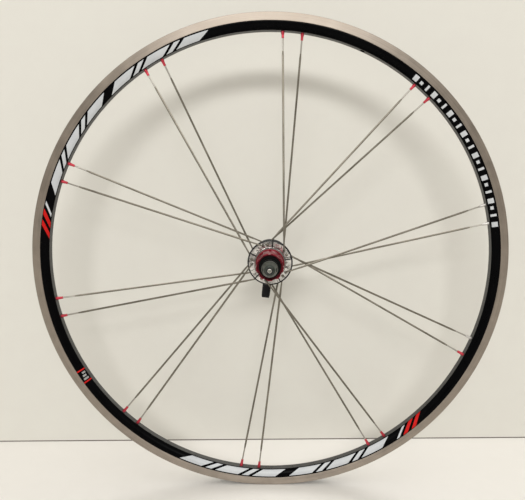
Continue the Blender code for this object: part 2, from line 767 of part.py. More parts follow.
def make_clamp_cup():
    front = -NUT_FACE
    floor = front - SPRING_RECESS_DEPTH
    bore = SKEWER_RADIUS + RUNNING_GAP
    profile = [
        (SPRING_RECESS_RADIUS, front),
        (CUP_RADIUS, front),
        (CUP_RADIUS, front - CUP_LENGTH / 2),
        (CUP_BACK_RADIUS, CUP_BACK),
        (bore, CUP_BACK),
        (bore, floor),
        (SPRING_RECESS_RADIUS, floor),
    ]
    turned("qr_clamp_cup", [profile], GREY_METAL, TURNED_SEGMENTS)
    make_spring("skewer_spring_nondrive", -1, HALF_AXLE + DROPOUT_STUB_LENGTH, floor)


def make_rod(nut_tip):
    """The rod is turned; its far end has an eye that the lever's pin goes through."""
    top = nut_tip + ROD_PAST_NUT
    profile = [
        (0.0, top),
        (SKEWER_RADIUS - GAP, top),
        (SKEWER_RADIUS, top - GAP),
        (SKEWER_RADIUS, PIN_HEIGHT),
        (0.0, PIN_HEIGHT),
    ]
    rod = turned("skewer_rod", [profile], STEEL, EYE_SIDES, clock(LEVER_ANGLE - 180.0))

    def eye(bm):
        cylinder(bm, EYE_RADIUS, EYE_WIDTH, across_the_skewer(PIN_HEIGHT), EYE_SIDES)

    def pin_hole(bm):
        cylinder(bm, PIN_RADIUS + GAP, EYE_WIDTH + 2 * THROUGH, across_the_skewer(PIN_HEIGHT), PIN_SIDES)

    cut(rod, "_eye", eye, "UNION")
    cut(rod, "_pin_hole", pin_hole)


def lever_outline():
    """Side view of the lever's arm as (y, z) about the pin: from the cam, it sweeps towards the wheel."""
    root = FORK_FLOOR - LEVER_OVERLAP
    inner, outer = [], []
    for i in range(LEVER_STEPS):
        share = i / (LEVER_STEPS - 1)
        y = -root - (LEVER_LENGTH - root) * share
        middle = LEVER_ROOT_HEIGHT + LEVER_SWEEP * share**2
        half = (LEVER_ROOT_THICKNESS + (LEVER_TIP_THICKNESS - LEVER_ROOT_THICKNESS) * share) / 2
        inner.append((y, middle + half))
        outer.append((y, middle - half))
    return inner + outer[::-1]


def make_lever():
    """The lever's origin is on its pin. Its cam is CAM_OFFSET off the pin, towards the hub when closed."""
    mesh = bpy.data.meshes.new("qr_lever")
    bm = bmesh.new()
    cylinder(bm, CAM_RADIUS, LEVER_HEAD_WIDTH, across_the_skewer(CAM_OFFSET), ROUND_SIDES)
    bm.to_mesh(mesh)
    bm.free()
    place = Matrix.Translation((0, 0, PIN_HEIGHT)) @ clock(LEVER_ANGLE - 180.0)
    lever = add_object("qr_lever", mesh, BLACK_PAINT, place)

    def arm(bm):
        flank = [bm.verts.new((-LEVER_WIDTH / 2 * MM, y * MM, z * MM)) for y, z in lever_outline()]
        face = bm.faces.new(flank)
        grown = bmesh.ops.extrude_face_region(bm, geom=[face])["geom"]
        for vert in grown:
            if isinstance(vert, bmesh.types.BMVert):
                vert.co.x += LEVER_WIDTH * MM
        bmesh.ops.recalc_face_normals(bm, faces=bm.faces)

    def fork(bm):
        half = EYE_WIDTH / 2 + FORK_CLEARANCE
        block(bm, (-half, -FORK_FLOOR, -3 * CAM_RADIUS), (half, 3 * CAM_RADIUS, 3 * CAM_RADIUS))

    def pin_hole(bm):
        cylinder(bm, PIN_RADIUS + GAP, LEVER_HEAD_WIDTH + 2 * THROUGH, across_the_skewer(), PIN_SIDES)

    cut(lever, "_arm", arm, "UNION")
    cut(lever, "_fork", fork)
    cut(lever, "_pin_hole", pin_hole)


def make_pin():
    mesh = bpy.data.meshes.new("qr_pin")
    bm = bmesh.new()
    cylinder(bm, PIN_RADIUS, LEVER_HEAD_WIDTH - 2 * GAP, across_the_skewer(), PIN_SIDES)
    bm.to_mesh(mesh)
    bm.free()
    place = Matrix.Translation((0, 0, PIN_HEIGHT)) @ clock(LEVER_ANGLE - 180.0)
    add_object("qr_pin", mesh, STEEL, place)


def build():
    make_rim()
    for number, spoke in enumerate(SPOKES, start=1):
        make_spoke(number, spoke)
        make_nipple(number, spoke)
    chamber_floor = make_hub_shell()
    tips = chamber_floor + GAP + RATCHET_RING + RATCHET_TOOTH
    make_ratchet("ratchet_shell", CHAMBER_RADIUS - GAP, tips, 1)
    boss_inner, lockring_floor = make_freehub(tips + RATCHET_CLEARANCE)
    make_ratchet("ratchet_freehub", boss_inner - GAP, tips + RATCHET_CLEARANCE, -1)
    make_axle_group(lockring_floor)
    nut_tip = make_nut()
    make_clamp_cup()
    make_rod(nut_tip)
    make_lever()
    make_pin()


clear_scene()
WHEEL = make_collection("rear_bicycle_wheel")
CUTTERS = make_collection("cutters")
FRAME = bpy.data.objects.new("wheel_frame", None)
WHEEL.objects.link(FRAME)
FRAME.matrix_basis = Matrix.Rotation(math.pi / 2, 4, "X")
SPOKES = plan_spokes()
build()
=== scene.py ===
"""Looks of a bicycle rear wheel: rim, bladed spokes, nipples, hub, bare freehub and quick-release skewer.

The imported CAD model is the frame. Each piece is modelled in the wheel's own frame, in millimetres: x to the
right, y up and z along the axle towards the drive side, with z = 0 on the rim's centre plane. ROW turns that
frame into the row frame, in metres, where the axle lies along Y and the drive side faces -Y. Angles around
the axle are clockwise from straight up, as seen from the drive side. Sizes repeat the ones in the CAD source,
but the nipples stand out less (9.6 against 10.1) and the flange's notches are narrower (1.5 against 2.0). The
teeth on the nut and the cup, the rod's threads and the decals are only here.
"""

import math

import bmesh
import bpy
from mathutils import Matrix, Vector


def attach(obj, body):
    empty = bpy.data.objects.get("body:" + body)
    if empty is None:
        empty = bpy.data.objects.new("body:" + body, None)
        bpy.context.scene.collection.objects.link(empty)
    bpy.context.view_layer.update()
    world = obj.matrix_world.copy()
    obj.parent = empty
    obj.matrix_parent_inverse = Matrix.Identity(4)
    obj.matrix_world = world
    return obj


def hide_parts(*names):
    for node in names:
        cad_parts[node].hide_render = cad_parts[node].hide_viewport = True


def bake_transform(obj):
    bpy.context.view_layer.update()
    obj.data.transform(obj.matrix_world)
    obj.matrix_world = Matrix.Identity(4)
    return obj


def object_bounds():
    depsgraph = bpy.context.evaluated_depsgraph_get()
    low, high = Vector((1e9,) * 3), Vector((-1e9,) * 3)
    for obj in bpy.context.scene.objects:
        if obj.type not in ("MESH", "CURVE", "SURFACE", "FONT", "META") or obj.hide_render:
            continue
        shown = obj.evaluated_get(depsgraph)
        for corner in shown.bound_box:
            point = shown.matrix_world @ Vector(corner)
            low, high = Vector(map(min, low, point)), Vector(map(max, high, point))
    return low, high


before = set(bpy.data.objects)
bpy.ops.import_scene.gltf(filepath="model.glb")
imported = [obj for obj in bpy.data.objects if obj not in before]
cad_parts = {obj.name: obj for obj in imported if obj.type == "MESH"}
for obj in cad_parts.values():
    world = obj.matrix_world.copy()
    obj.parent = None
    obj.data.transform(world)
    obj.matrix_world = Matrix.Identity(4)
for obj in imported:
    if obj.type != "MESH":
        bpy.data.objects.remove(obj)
CAD_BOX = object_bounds()

MM = 0.001
ROW = Matrix.Rotation(math.pi / 2, 4, "X") @ Matrix.Scale(MM, 4)
GAP = 0.3
MERGE = 0.0001
SHARP_ANGLE = math.radians(32.0)

# Rim
RIM_RADIUS = 316.5
RIM_HALF_WIDTH = 9.75
BED_RADIUS = 295.8
BED_WALL = 2.0
BED_HALF_WIDTH = 3.4
WELL_RADIUS = 307.2
TRACK_RADIUS = 306.2
TRACK_STEP = 0.45
LIP_DEPTH = 0.8
TYRE_CHANNEL_HALF_WIDTH = 8.8
BED_SLOPE = 0.94  # faces that look at the axle more squarely than this have the bed's look
BAND_OUTER = (305.8, 9.45)
BAND_CORNER = (299.0, 9.0)
BAND_INNER = (295.9, 4.4)
BAND_STEPS = 14
RIM_STEPS = 360
NIPPLE_HOLE_RADIUS = 2.6
ACCESS_HOLE_RADIUS = 4.3
VALVE_HOLE_RADIUS = 3.2
HOLE_SIDES = 24

# Decals: angles in degrees, heights as shares of the black side
SLANT = 3.6
BLOCK_RUNS = ((286.9, 342.0), (145.8, 201.4))
SLASH_STARTS = (281.2, 140.4)
SLASH_STEP = -2.7
BAR_RUN = (37.6, 81.8)
RED_MARKS = (236.5, 239.8)
GREY_MARKS_START = 237.2
GREY_MARK_STEP = 0.85
STICKER_LIFTS = (-0.05, 0.12)
STICKER_ROWS = 8
STICKER_COLUMN = 0.7

# Spokes and nipples
PAIR_COUNT = 10
PAIR_PITCH = 360.0 / PAIR_COUNT
PAIR_PHASE = 5.57
PAIR_SPLIT = 4.89
SPOKE_RADIUS = 1.0
BLADE_HALF_WIDTH = 1.3
BLADE_HALF_THICKNESS = 0.5
BUTT_LENGTH = 16.0
BLADE_FADE = 6.0
SPOKE_HEAD_RADIUS = 1.9
SPOKE_HEAD_THICKNESS = 1.0
ELBOW_RADIUS = 1.9
SPOKE_IN_NIPPLE = 1.0
NIPPLE_REACH = 9.6
PLAIN_NIPPLES = (5, 6, 7)
ELBOW_STEPS = 8
FADE_STEPS = 5

# Hub
DRIVE_FLANGE_FACE = 16.0
FAR_FLANGE_FACE = -34.75
FLANGE_THICKNESS = 3.5
DRIVE_FLANGE_RADIUS = 29.9
FAR_FLANGE_RADIUS = 27.0
DRIVE_HOLE_CIRCLE = 24.0
FAR_HOLE_CIRCLE = 22.0
DRIVE_LACING_ANGLE = 46.8
FAR_LACING_ANGLE = 48.8
MOUTH_FACE = 19.0
CHAMBER_RADIUS = 17.2
MOUTH_RADIUS = 19.6
BARREL_RADIUS = 13.5
FAR_BARREL_RADIUS = 17.0
SHELL_FAR_END = -48.0
BEARING_SEAT = 13.3
BEARING_SHOULDER = 10.5
NEAR_BEARING_FLOOR = 0.9
FAR_BEARING_FLOOR = -39.5
CHAMBER_FLOOR = 8.4
SPOKE_HOLE_RADIUS = 1.4
COUNTERSINK = (2.6, 1.3)
EDGE_BAND = 1.9
NOTCH_COUNT = 5
NOTCH_PHASE = 7.5
NOTCH_WIDTH = 1.5
NOTCH_DEPTH = 1.2

# Freehub and axle
FREEHUB_END = 59.8
FREEHUB_RADIUS = 17.25
SPLINE_START = 24.0
SPLINE_DEPTH = 1.3
SPLINE_COUNT = 9
SPLINE_HALF_WIDTH = 2.7
NARROW_SPLINE_HALF_WIDTH = 1.7
COLLAR_RADIUS = 18.8
COLLAR_BACK = 19.6
BOSS_RADIUS = 16.7
BOSS_BORE = 14.3
BOSS_END = 14.8
LOCKRING_BORE = 15.2
LOCKRING_FLOOR = 55.5
AXLE_END = 65.0
STUB_RADIUS = 5.0
STUB_LENGTH = 5.0
CAP_RADIUS = 10.5
CAP_FLANGE = 3.2
CAP_SLOPE = 0.8
CAP_NECK = 9.2
AXLE_SOCKET = 7.8
SEAL_RADIUS = 12.2
SEAL_THICKNESS = 2.0
SKEWER_BORE = 3.0

# Quick-release skewer
SKEWER_RADIUS = 2.5
CLAMP_FACE = 71.0
NUT_TIP = 89.2
ROD_TIP = 90.5
RECESS_RADIUS = 7.8
RECESS_FLOOR = 77.0
INSERT_RADIUS = 4.1
INSERT_FLOOR = 85.0
NUT_RADIUS = 10.0
NUT_TIP_RADIUS = 5.4
SCALLOP_RADIUS = 4.0
SCALLOP_OFFSET = 11.2
SCALLOP_FLOOR = 79.0
TOOTH_COUNT = 30
TOOTH_HALF_WIDTH = 0.3
TOOTH_LEAN = 0.4
SPRING_TURNS = 2.5
SPRING_POINTS_PER_TURN = 28
SPRING_WIRE_RADIUS = 0.4
SPRING_WIRE_SIDES = 10
SPRING_SMALL_RADIUS = 3.9
SPRING_GROWTH = 3.2
THREAD_PITCH = 0.8
THREAD_COUNT = 22
CUP_BACK_RADIUS = 8.6
CUP_BACK = -79.0
CAM_RADIUS = 7.5
CAM_OFFSET = 0.8
PIN_HEIGHT = -87.7
PIN_RADIUS = 2.0
LEVER_ANGLE = 186.8
LEVER_LENGTH = 67.5
LEVER_WIDTH = 12.4
LEVER_HEAD_WIDTH = 15.0
LEVER_ROOT_THICKNESS = 5.5
LEVER_TIP_THICKNESS = 3.4
LEVER_ROOT_HEIGHT = -2.2
LEVER_SWEEP = 7.0
LEVER_STEPS = 22
LEVER_SIDES = 28
FORK_FLOOR = 5.6
FORK_CLEARANCE = 0.4
EYE_RADIUS = 4.6
EYE_WIDTH = 5.2
EYE_CHAMFER = 0.4

# Stage, in metres
WALL_Y = 0.1209
WALL_TURN = 0.019
WALL_HALF_WIDTH = 1.1
WALL_TOP = 0.95
JOINT_HEIGHT = 0.0016
FLOOR_REACH = 6.0
SENSOR_WIDTH = 36.0
FOCAL_LENGTH = SENSOR_WIDTH * 20.0 / 21.0


# ---------------------------------------------------------------- shapes


def around(angle, radius, z=0.0):
    turn = math.radians(angle)
    return Vector((radius * math.sin(turn), radius * math.cos(turn), z))


def to_row(point):
    return ROW @ point


def clock(angle):
    """The turn about z that brings +y to a clock angle."""
    return Matrix.Rotation(-math.radians(angle), 4, "Z")


def soften(points, closed=True, steps=3):
    """Rounds a (radius, z, cut) outline's corners, where cut is how far from the corner the round starts."""
    made = []
    count = len(points)
    for i, (r, z, cut) in enumerate(points):
        corner = Vector((r, z))
        if cut == 0.0 or (not closed and i in (0, count - 1)):
            made.append((r, z))
            continue
        before = Vector(points[i - 1][:2]) - corner
        after = Vector(points[(i + 1) % count][:2]) - corner
        start = corner + before * min(cut / before.length, 0.45)
        end = corner + after * min(cut / after.length, 0.45)
        for step in range(steps + 1):
            t = step / steps
            point = start * (1 - t) ** 2 + corner * 2 * t * (1 - t) + end * t**2
            made.append(tuple(point))
    return made


def mirrored(half):
    """A closed outline from its half on the +z side."""
    return half + [(r, -z, cut) for r, z, cut in reversed(half)]


def lathe(profile, steps):
    """Turns a closed (radius, z) outline about the axle."""
    bm = bmesh.new()
    rows = []
    for step in range(steps):
        angle = 360.0 * step / steps
        rows.append([bm.verts.new(around(angle, r, z)) for r, z in profile])
    for here, there in zip(rows, rows[1:] + rows[:1]):
        for i in range(len(profile)):
            j = (i + 1) % len(profile)
            bm.faces.new((here[i], here[j], there[j], there[i]))
    bmesh.ops.remove_doubles(bm, verts=bm.verts, dist=MERGE)
    return bm


def loft(bm, rings):
    """Joins rings of points, all of one length, into a closed skin."""
    rows = [[bm.verts.new(p) for p in points] for points in rings]
    for low, high in zip(rows, rows[1:]):
        for i in range(len(low)):
            j = (i + 1) % len(low)
            bm.faces.new((low[i], low[j], high[j], high[i]))
    bm.faces.new(rows[0])
    bm.faces.new(rows[-1])


def rod(bm, radius, end_radius, low, high, place=None, sides=32):
    """A cylinder or cone along the z of place, from low to high."""
    middle = (place or Matrix()) @ Matrix.Translation((0, 0, (low + high) / 2))
    bmesh.ops.create_cone(
        bm, cap_ends=True, segments=sides, radius1=radius, radius2=end_radius, depth=high - low, matrix=middle
    )


def box(bm, low, high, place=None):
    low, high = Vector(low), Vector(high)
    middle = (place or Matrix()) @ Matrix.Translation((low + high) / 2)
    bmesh.ops.create_cube(bm, size=1.0, matrix=middle @ Matrix.Diagonal((*(high - low), 1.0)))


def scratch_object(label, bm):
    bmesh.ops.recalc_face_normals(bm, faces=bm.faces)
    mesh = bpy.data.meshes.new(label)
    bm.to_mesh(mesh)
    bm.free()
    obj = bpy.data.objects.new(label, mesh)
    bpy.context.scene.collection.objects.link(obj)
    return obj


def take_back(objects):
    """The first object's final mesh as a bmesh. All of them are removed."""
    bm = bmesh.new()
    bm.from_object(objects[0], bpy.context.evaluated_depsgraph_get())
    for obj in objects:
        mesh = obj.data
        bpy.data.objects.remove(obj)
        bpy.data.meshes.remove(mesh)
    return bm


def carve(body, tool, operation="DIFFERENCE"):
    """Cuts body by tool, or joins them, and returns the result."""
    body, tool = scratch_object("carved", body), scratch_object("carver", tool)
    boolean = body.modifiers.new("carve", "BOOLEAN")
    boolean.operation = operation
    boolean.object = tool
    boolean.solver = "EXACT"
    return take_back([body, tool])


def melt(bm, voxel, passes):
    """Remeshes a shape and smooths it, for the rounded edges of a forging."""
    obj = scratch_object("melted", bm)
    remesh = obj.modifiers.new("remesh", "REMESH")
    remesh.mode = "VOXEL"
    remesh.voxel_size = voxel
    smooth = obj.modifiers.new("smooth", "SMOOTH")
    smooth.iterations = passes
    return take_back([obj])


def piece(name, bm, looks, body, nodes=(), rule=None, place=None):
    """Makes a piece of the object. rule picks a face's look from its centre and its normal."""
    for face in bm.faces:
        face.material_index = rule(face.calc_center_median(), face.normal) if rule else 0
        face.smooth = True
    bm.transform(ROW @ (place or Matrix()))
    bmesh.ops.recalc_face_normals(bm, faces=bm.faces)
    mesh = bpy.data.meshes.new(name)
    bm.to_mesh(mesh)
    bm.free()
    mesh.set_sharp_from_angle(angle=SHARP_ANGLE)
    for look in looks:
        mesh.materials.append(look)
    obj = bpy.data.objects.new(name, mesh)
    bpy.context.scene.collection.objects.link(obj)
    if body:
        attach(obj, body)
    if nodes:
        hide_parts(*nodes)
    return obj


# ---------------------------------------------------------------- materials


def new_look(name):
    look = bpy.data.materials.new(name)
    look.use_nodes = True
    return look, look.node_tree, look.node_tree.nodes["Principled BSDF"]


def maths(tree, operation, *values):
    node = tree.nodes.new("ShaderNodeMath")
    node.operation = operation
    for socket, value in zip(node.inputs, values):
        if isinstance(value, (int, float)):
            socket.default_value = value
        else:
            tree.links.new(value, socket)
    return node.outputs[0]


def remap(tree, value, low, high):
    """Brings a noise value, which mostly lies from 0.3 to 0.7, to the range from low to high."""
    node = tree.nodes.new("ShaderNodeMapRange")
    node.inputs["From Min"].default_value = 0.3
    node.inputs["From Max"].default_value = 0.7
    node.inputs["To Min"].default_value = low
    node.inputs["To Max"].default_value = high
    tree.links.new(value, node.inputs["Value"])
    return node.outputs[0]


def noise(tree, vector, scale, detail=4.0):
    node = tree.nodes.new("ShaderNodeTexNoise")
    node.inputs["Scale"].default_value = scale
    node.inputs["Detail"].default_value = detail
    tree.links.new(vector, node.inputs["Vector"])
    return node.outputs["Fac"]


def blend_colours(tree, share, first, second):
    node = tree.nodes.new("ShaderNodeMix")
    node.data_type = "RGBA"
    for socket, value in ((node.inputs[6], first), (node.inputs[7], second)):
        if isinstance(value, tuple):
            socket.default_value = (*value, 1.0)
        else:
            tree.links.new(value, socket)
    tree.links.new(share, node.inputs[0])
    return node.outputs[2]


def paint(tree, shader, shade, dark, light):
    colour = blend_colours(tree, remap(tree, shade, 0.0, 1.0), dark, light)
    tree.links.new(colour, shader.inputs["Base Color"])


def bump(tree, shader, height, strength, distance):
    node = tree.nodes.new("ShaderNodeBump")
    node.inputs["Strength"].default_value = strength
    node.inputs["Distance"].default_value = distance
    tree.links.new(height, node.inputs["Height"])
    tree.links.new(node.outputs["Normal"], shader.inputs["Normal"])


def place_of(tree):
    return tree.nodes.new("ShaderNodeTexCoord").outputs["Object"]


def lathe_marks(tree, along=3.0, across=2600.0):
    """A noise drawn out around the axle, fine in radius and along the axle, like the marks of turning."""
    split = tree.nodes.new("ShaderNodeSeparateXYZ")
    tree.links.new(place_of(tree), split.inputs[0])
    flat = tree.nodes.new("ShaderNodeCombineXYZ")
    tree.links.new(split.outputs["X"], flat.inputs["X"])
    tree.links.new(split.outputs["Z"], flat.inputs["Z"])
    length = tree.nodes.new("ShaderNodeVectorMath")
    length.operation = "LENGTH"
    tree.links.new(flat.outputs[0], length.inputs[0])
    unit = tree.nodes.new("ShaderNodeVectorMath")
    unit.operation = "NORMALIZE"
    tree.links.new(flat.outputs[0], unit.inputs[0])
    turned = tree.nodes.new("ShaderNodeSeparateXYZ")
    tree.links.new(unit.outputs[0], turned.inputs[0])
    reach = maths(tree, "ADD", length.outputs["Value"], split.outputs["Y"])
    marks = tree.nodes.new("ShaderNodeCombineXYZ")
    tree.links.new(maths(tree, "MULTIPLY", turned.outputs["X"], along), marks.inputs["X"])
    tree.links.new(maths(tree, "MULTIPLY", reach, across), marks.inputs["Y"])
    tree.links.new(maths(tree, "MULTIPLY", turned.outputs["Z"], along), marks.inputs["Z"])
    return noise(tree, marks.outputs[0], 1.0, 3.0)


def along_the_turning(tree, shader, amount):
    """Stretches reflections across the marks of turning."""
    tangent = tree.nodes.new("ShaderNodeTangent")
    tangent.direction_type = "RADIAL"
    tangent.axis = "Y"
    tree.links.new(tangent.outputs[0], shader.inputs["Tangent"])
    shader.inputs["Anisotropic"].default_value = amount
    shader.inputs["Anisotropic Rotation"].default_value = 0.25


def turned_metal(name, dark, light, roughness, stretch=0.0, depth=0.00001, across=2600.0):
    look, tree, shader = new_look(name)
    marks = lathe_marks(tree, across=across)
    cloud = noise(tree, place_of(tree), 60.0)
    shade = maths(tree, "ADD", maths(tree, "MULTIPLY", marks, 0.6), maths(tree, "MULTIPLY", cloud, 0.4))
    paint(tree, shader, shade, dark, light)
    tree.links.new(remap(tree, shade, roughness * 0.75, roughness * 1.25), shader.inputs["Roughness"])
    shader.inputs["Metallic"].default_value = 1.0
    bump(tree, shader, marks, 0.5, depth)
    if stretch:
        along_the_turning(tree, shader, stretch)
    return look


def finish(name, dark, light, roughness, metallic=0.0, grain=900.0, depth=0.00002, gloss=0.5):
    """A surface with a mottled colour, an uneven gloss and a fine grain."""
    look, tree, shader = new_look(name)
    place = place_of(tree)
    cloud = noise(tree, place, 45.0)
    fine = noise(tree, place, grain, 2.0)
    shade = maths(tree, "ADD", maths(tree, "MULTIPLY", cloud, 0.55), maths(tree, "MULTIPLY", fine, 0.45))
    paint(tree, shader, shade, dark, light)
    tree.links.new(remap(tree, shade, roughness * 0.75, roughness * 1.3), shader.inputs["Roughness"])
    shader.inputs["Metallic"].default_value = metallic
    shader.inputs["Specular IOR Level"].default_value = gloss
    bump(tree, shader, fine, 0.3, depth)
    return look


def polished_metal(name, dark, light, roughness):
    """Polished metal with a slightly wavy surface and a few cloudy patches."""
    look, tree, shader = new_look(name)
    place = place_of(tree)
    cloud = noise(tree, place, 110.0, 3.0)
    wave = noise(tree, place, 95.0, 2.0)
    paint(tree, shader, cloud, dark, light)
    tree.links.new(remap(tree, cloud, roughness * 1.5, roughness * 0.7), shader.inputs["Roughness"])
    shader.inputs["Metallic"].default_value = 1.0
    bump(tree, shader, wave, 0.8, 0.0015)
    return look


def make_looks():
    return {
        "track": turned_metal(
            "brake_track", (0.235, 0.205, 0.175), (0.40, 0.345, 0.29), 0.42, 0.8, across=1900.0
        ),
        "band": finish("black_band", (0.0003, 0.0003, 0.0005), (0.001, 0.001, 0.0014), 0.3, gloss=0.04),
        "bed": finish("bed_satin", (0.014, 0.014, 0.014), (0.034, 0.034, 0.032), 0.3, gloss=0.5),
        "channel": finish("rim_channel", (0.05, 0.05, 0.052), (0.11, 0.11, 0.11), 0.5, 0.6),
        "white": finish("white_vinyl", (0.46, 0.48, 0.505), (0.58, 0.60, 0.62), 0.38),
        "red": finish("red_vinyl", (0.46, 0.005, 0.004), (0.60, 0.008, 0.006), 0.4, gloss=0.15),
        "grey": finish("grey_vinyl", (0.20, 0.20, 0.20), (0.34, 0.34, 0.33), 0.4),
        # The spokes' two steels are one steel: the blade's darker colour is painted shade, the butt's lighter
        # colour a painted highlight.
        "blade": finish("blade_steel_painted_shade", (0.11, 0.10, 0.08), (0.25, 0.23, 0.19), 0.36, 1.0, 1500.0),
        "butt": finish("butt_steel_painted_highlight", (0.30, 0.28, 0.25), (0.46, 0.44, 0.40), 0.34, 1.0, 1500.0),
        "nipple": finish("nipple_red", (0.36, 0.018, 0.035), (0.60, 0.06, 0.085), 0.36, 0.6, 1800.0),
        "nipple_plain": finish("nipple_silver", (0.45, 0.44, 0.42), (0.68, 0.66, 0.63), 0.36, 0.9, 1800.0),
        "hub": polished_metal("hub_silver", (0.27, 0.26, 0.245), (0.60, 0.585, 0.56), 0.17),
        # Black for the band at the flange's rim; on the hub's spoke holes and notch floors it is painted
        # shade.
        "edge": finish("black_edge_and_recess_shade", (0.003, 0.003, 0.004), (0.01, 0.01, 0.011), 0.35, gloss=0.2),
        "freehub": turned_metal(
            "freehub_red", (0.10, 0.012, 0.018), (0.30, 0.04, 0.055), 0.42, 0.3, across=1500.0
        ),
        "seal": finish("seal_rubber", (0.0015, 0.0015, 0.0015), (0.004, 0.004, 0.004), 0.6, gloss=0.12),
        "cap": turned_metal("cap_grey", (0.16, 0.165, 0.165), (0.30, 0.31, 0.30), 0.38, 0.4),
        "cap_drive": turned_metal("cap_drive_black", (0.008, 0.008, 0.008), (0.02, 0.02, 0.02), 0.4, 0.2),
        "cap_black": turned_metal("cap_black", (0.012, 0.012, 0.013), (0.03, 0.03, 0.032), 0.36, 0.3),
        # The mouth ring is the hub's own silver, painted darker as shade between the flange and the freehub.
        "mouth": turned_metal("hub_mouth_painted_shade", (0.10, 0.10, 0.09), (0.24, 0.23, 0.21), 0.6, 0.3),
        "nut": turned_metal("nut_grey", (0.03, 0.036, 0.031), (0.10, 0.112, 0.10), 0.36, 0.3, across=900.0),
        "nylon": finish("nylon", (0.008, 0.008, 0.008), (0.02, 0.02, 0.02), 0.5),
        "steel": turned_metal("turned_steel", (0.46, 0.44, 0.40), (0.70, 0.68, 0.63), 0.3, 0.3),
        "rod_end": finish("rod_end_grey", (0.13, 0.135, 0.115), (0.24, 0.245, 0.21), 0.55, 0.3),
        "spring": finish("spring_steel", (0.40, 0.39, 0.37), (0.62, 0.61, 0.58), 0.3, 1.0, 1500.0),
        "bearing": finish("bearing_steel", (0.35, 0.34, 0.33), (0.55, 0.54, 0.52), 0.3, 1.0),
        "lever": finish("lever_black", (0.002, 0.002, 0.0025), (0.007, 0.007, 0.008), 0.4, gloss=0.25),
    }


# ---------------------------------------------------------------- rim


def plan_spokes():
    """Where each spoke runs. One of each pair goes to each flange, and the pairs lean to alternate sides."""
    spokes = []
    for pair in range(PAIR_COUNT):
        lean = 1 if pair % 2 == 0 else -1
        for side in (1, -1):
            drive = side == 1
            nipple_angle = PAIR_PHASE + pair * PAIR_PITCH - side * PAIR_SPLIT / 2
            lacing = DRIVE_LACING_ANGLE if drive else FAR_LACING_ANGLE
            circle = DRIVE_HOLE_CIRCLE if drive else FAR_HOLE_CIRCLE
            face = DRIVE_FLANGE_FACE if drive else FAR_FLANGE_FACE
            outside = (lean == 1) == drive
            exit_face = face if outside else face - side * FLANGE_THICKNESS
            head_face = face - side * FLANGE_THICKNESS if outside else face
            out = side if outside else -side
            hole = around(nipple_angle + lean * lacing, circle)
            corner = hole + Vector((0, 0, exit_face + out * ELBOW_RADIUS))
            end = around(nipple_angle, BED_RADIUS + BED_WALL / 2)
            along = (end - corner).normalized()
            across = Vector((0, 0, 1)).cross(along).normalized()
            place = Matrix((across, along.cross(across), along)).transposed().to_4x4()
            place.translation = end
            spokes.append(
                {
                    "hole": hole,
                    "face": face,
                    "side": side,
                    "out": out,
                    "head_face": head_face,
                    "corner": corner,
                    "end": end,
                    "along": along,
                    "across": across,
                    "place": place,
                }
            )
    return spokes


def band_curve(share):
    """The black side in section, as (radius, z). share is 0 at the spoke bed and 1 under the brake track."""
    weights = ((1 - share) ** 2, 2 * share * (1 - share), share**2)
    corners = (BAND_INNER, BAND_CORNER, BAND_OUTER)
    return tuple(sum(w * corner[i] for w, corner in zip(weights, corners)) for i in (0, 1))


def make_rim(spokes, looks):
    track_middle = (RIM_RADIUS + TRACK_RADIUS) / 2
    half = [
        (WELL_RADIUS, 4.4, 0.8),
        (310.6, 5.6, 0.8),
        (311.0, 7.5, 0.8),
        (313.0, 7.5, 0.8),
        (315.3, 6.9, 0.6),
        (RIM_RADIUS, 7.7, 0.5),
        (RIM_RADIUS, RIM_HALF_WIDTH, 0.6),
        (track_middle, RIM_HALF_WIDTH - 0.15, 3.0),
        (TRACK_RADIUS + 0.2, RIM_HALF_WIDTH, 0.15),
        (TRACK_RADIUS - 0.1, RIM_HALF_WIDTH - TRACK_STEP, 0.15),
    ]
    half += [(*band_curve(1.0 - step / BAND_STEPS), 0.0) for step in range(BAND_STEPS + 1)]
    half.append((BED_RADIUS, BED_HALF_WIDTH, 1.0))
    bm = lathe(soften(mirrored(half), steps=4), RIM_STEPS)
    holes = bmesh.new()
    for spoke in spokes:
        rod(holes, NIPPLE_HOLE_RADIUS, NIPPLE_HOLE_RADIUS, -6.0, 4.0, spoke["place"], HOLE_SIDES)
        rod(holes, ACCESS_HOLE_RADIUS, ACCESS_HOLE_RADIUS, 2.4, 16.0, spoke["place"], HOLE_SIDES)
    valve = clock(PAIR_PHASE + PAIR_PITCH / 2) @ Matrix.Rotation(-math.pi / 2, 4, "X")
    rod(holes, VALVE_HOLE_RADIUS, VALVE_HOLE_RADIUS, BED_RADIUS - 4.0, RIM_RADIUS, valve)
    bm = carve(bm, holes)

    def rule(middle, normal):
        radius = middle.xy.length
        if radius > RIM_RADIUS - LIP_DEPTH:
            return 0
        if radius > TRACK_RADIUS:
            return 0 if abs(middle.z) > TYRE_CHANNEL_HALF_WIDTH else 2
        inward = -(normal.x * middle.x + normal.y * middle.y) / radius
        return 3 if radius < WELL_RADIUS and inward > BED_SLOPE else 1

    rim_looks = [looks["track"], looks["band"], looks["channel"], looks["bed"]]
    piece("rim_body", bm, rim_looks, "wheel", ["rim"], rule)


def band_point(angle, share, lift):
    """A point on the rim's black side, lift off its surface."""
    step = 0.01
    r, z = band_curve(share)
    r_on, z_on = band_curve(share + step)
    slope = Vector((r_on - r, z_on - z)).normalized()
    return around(angle, r - slope.y * lift, z + slope.x * lift)


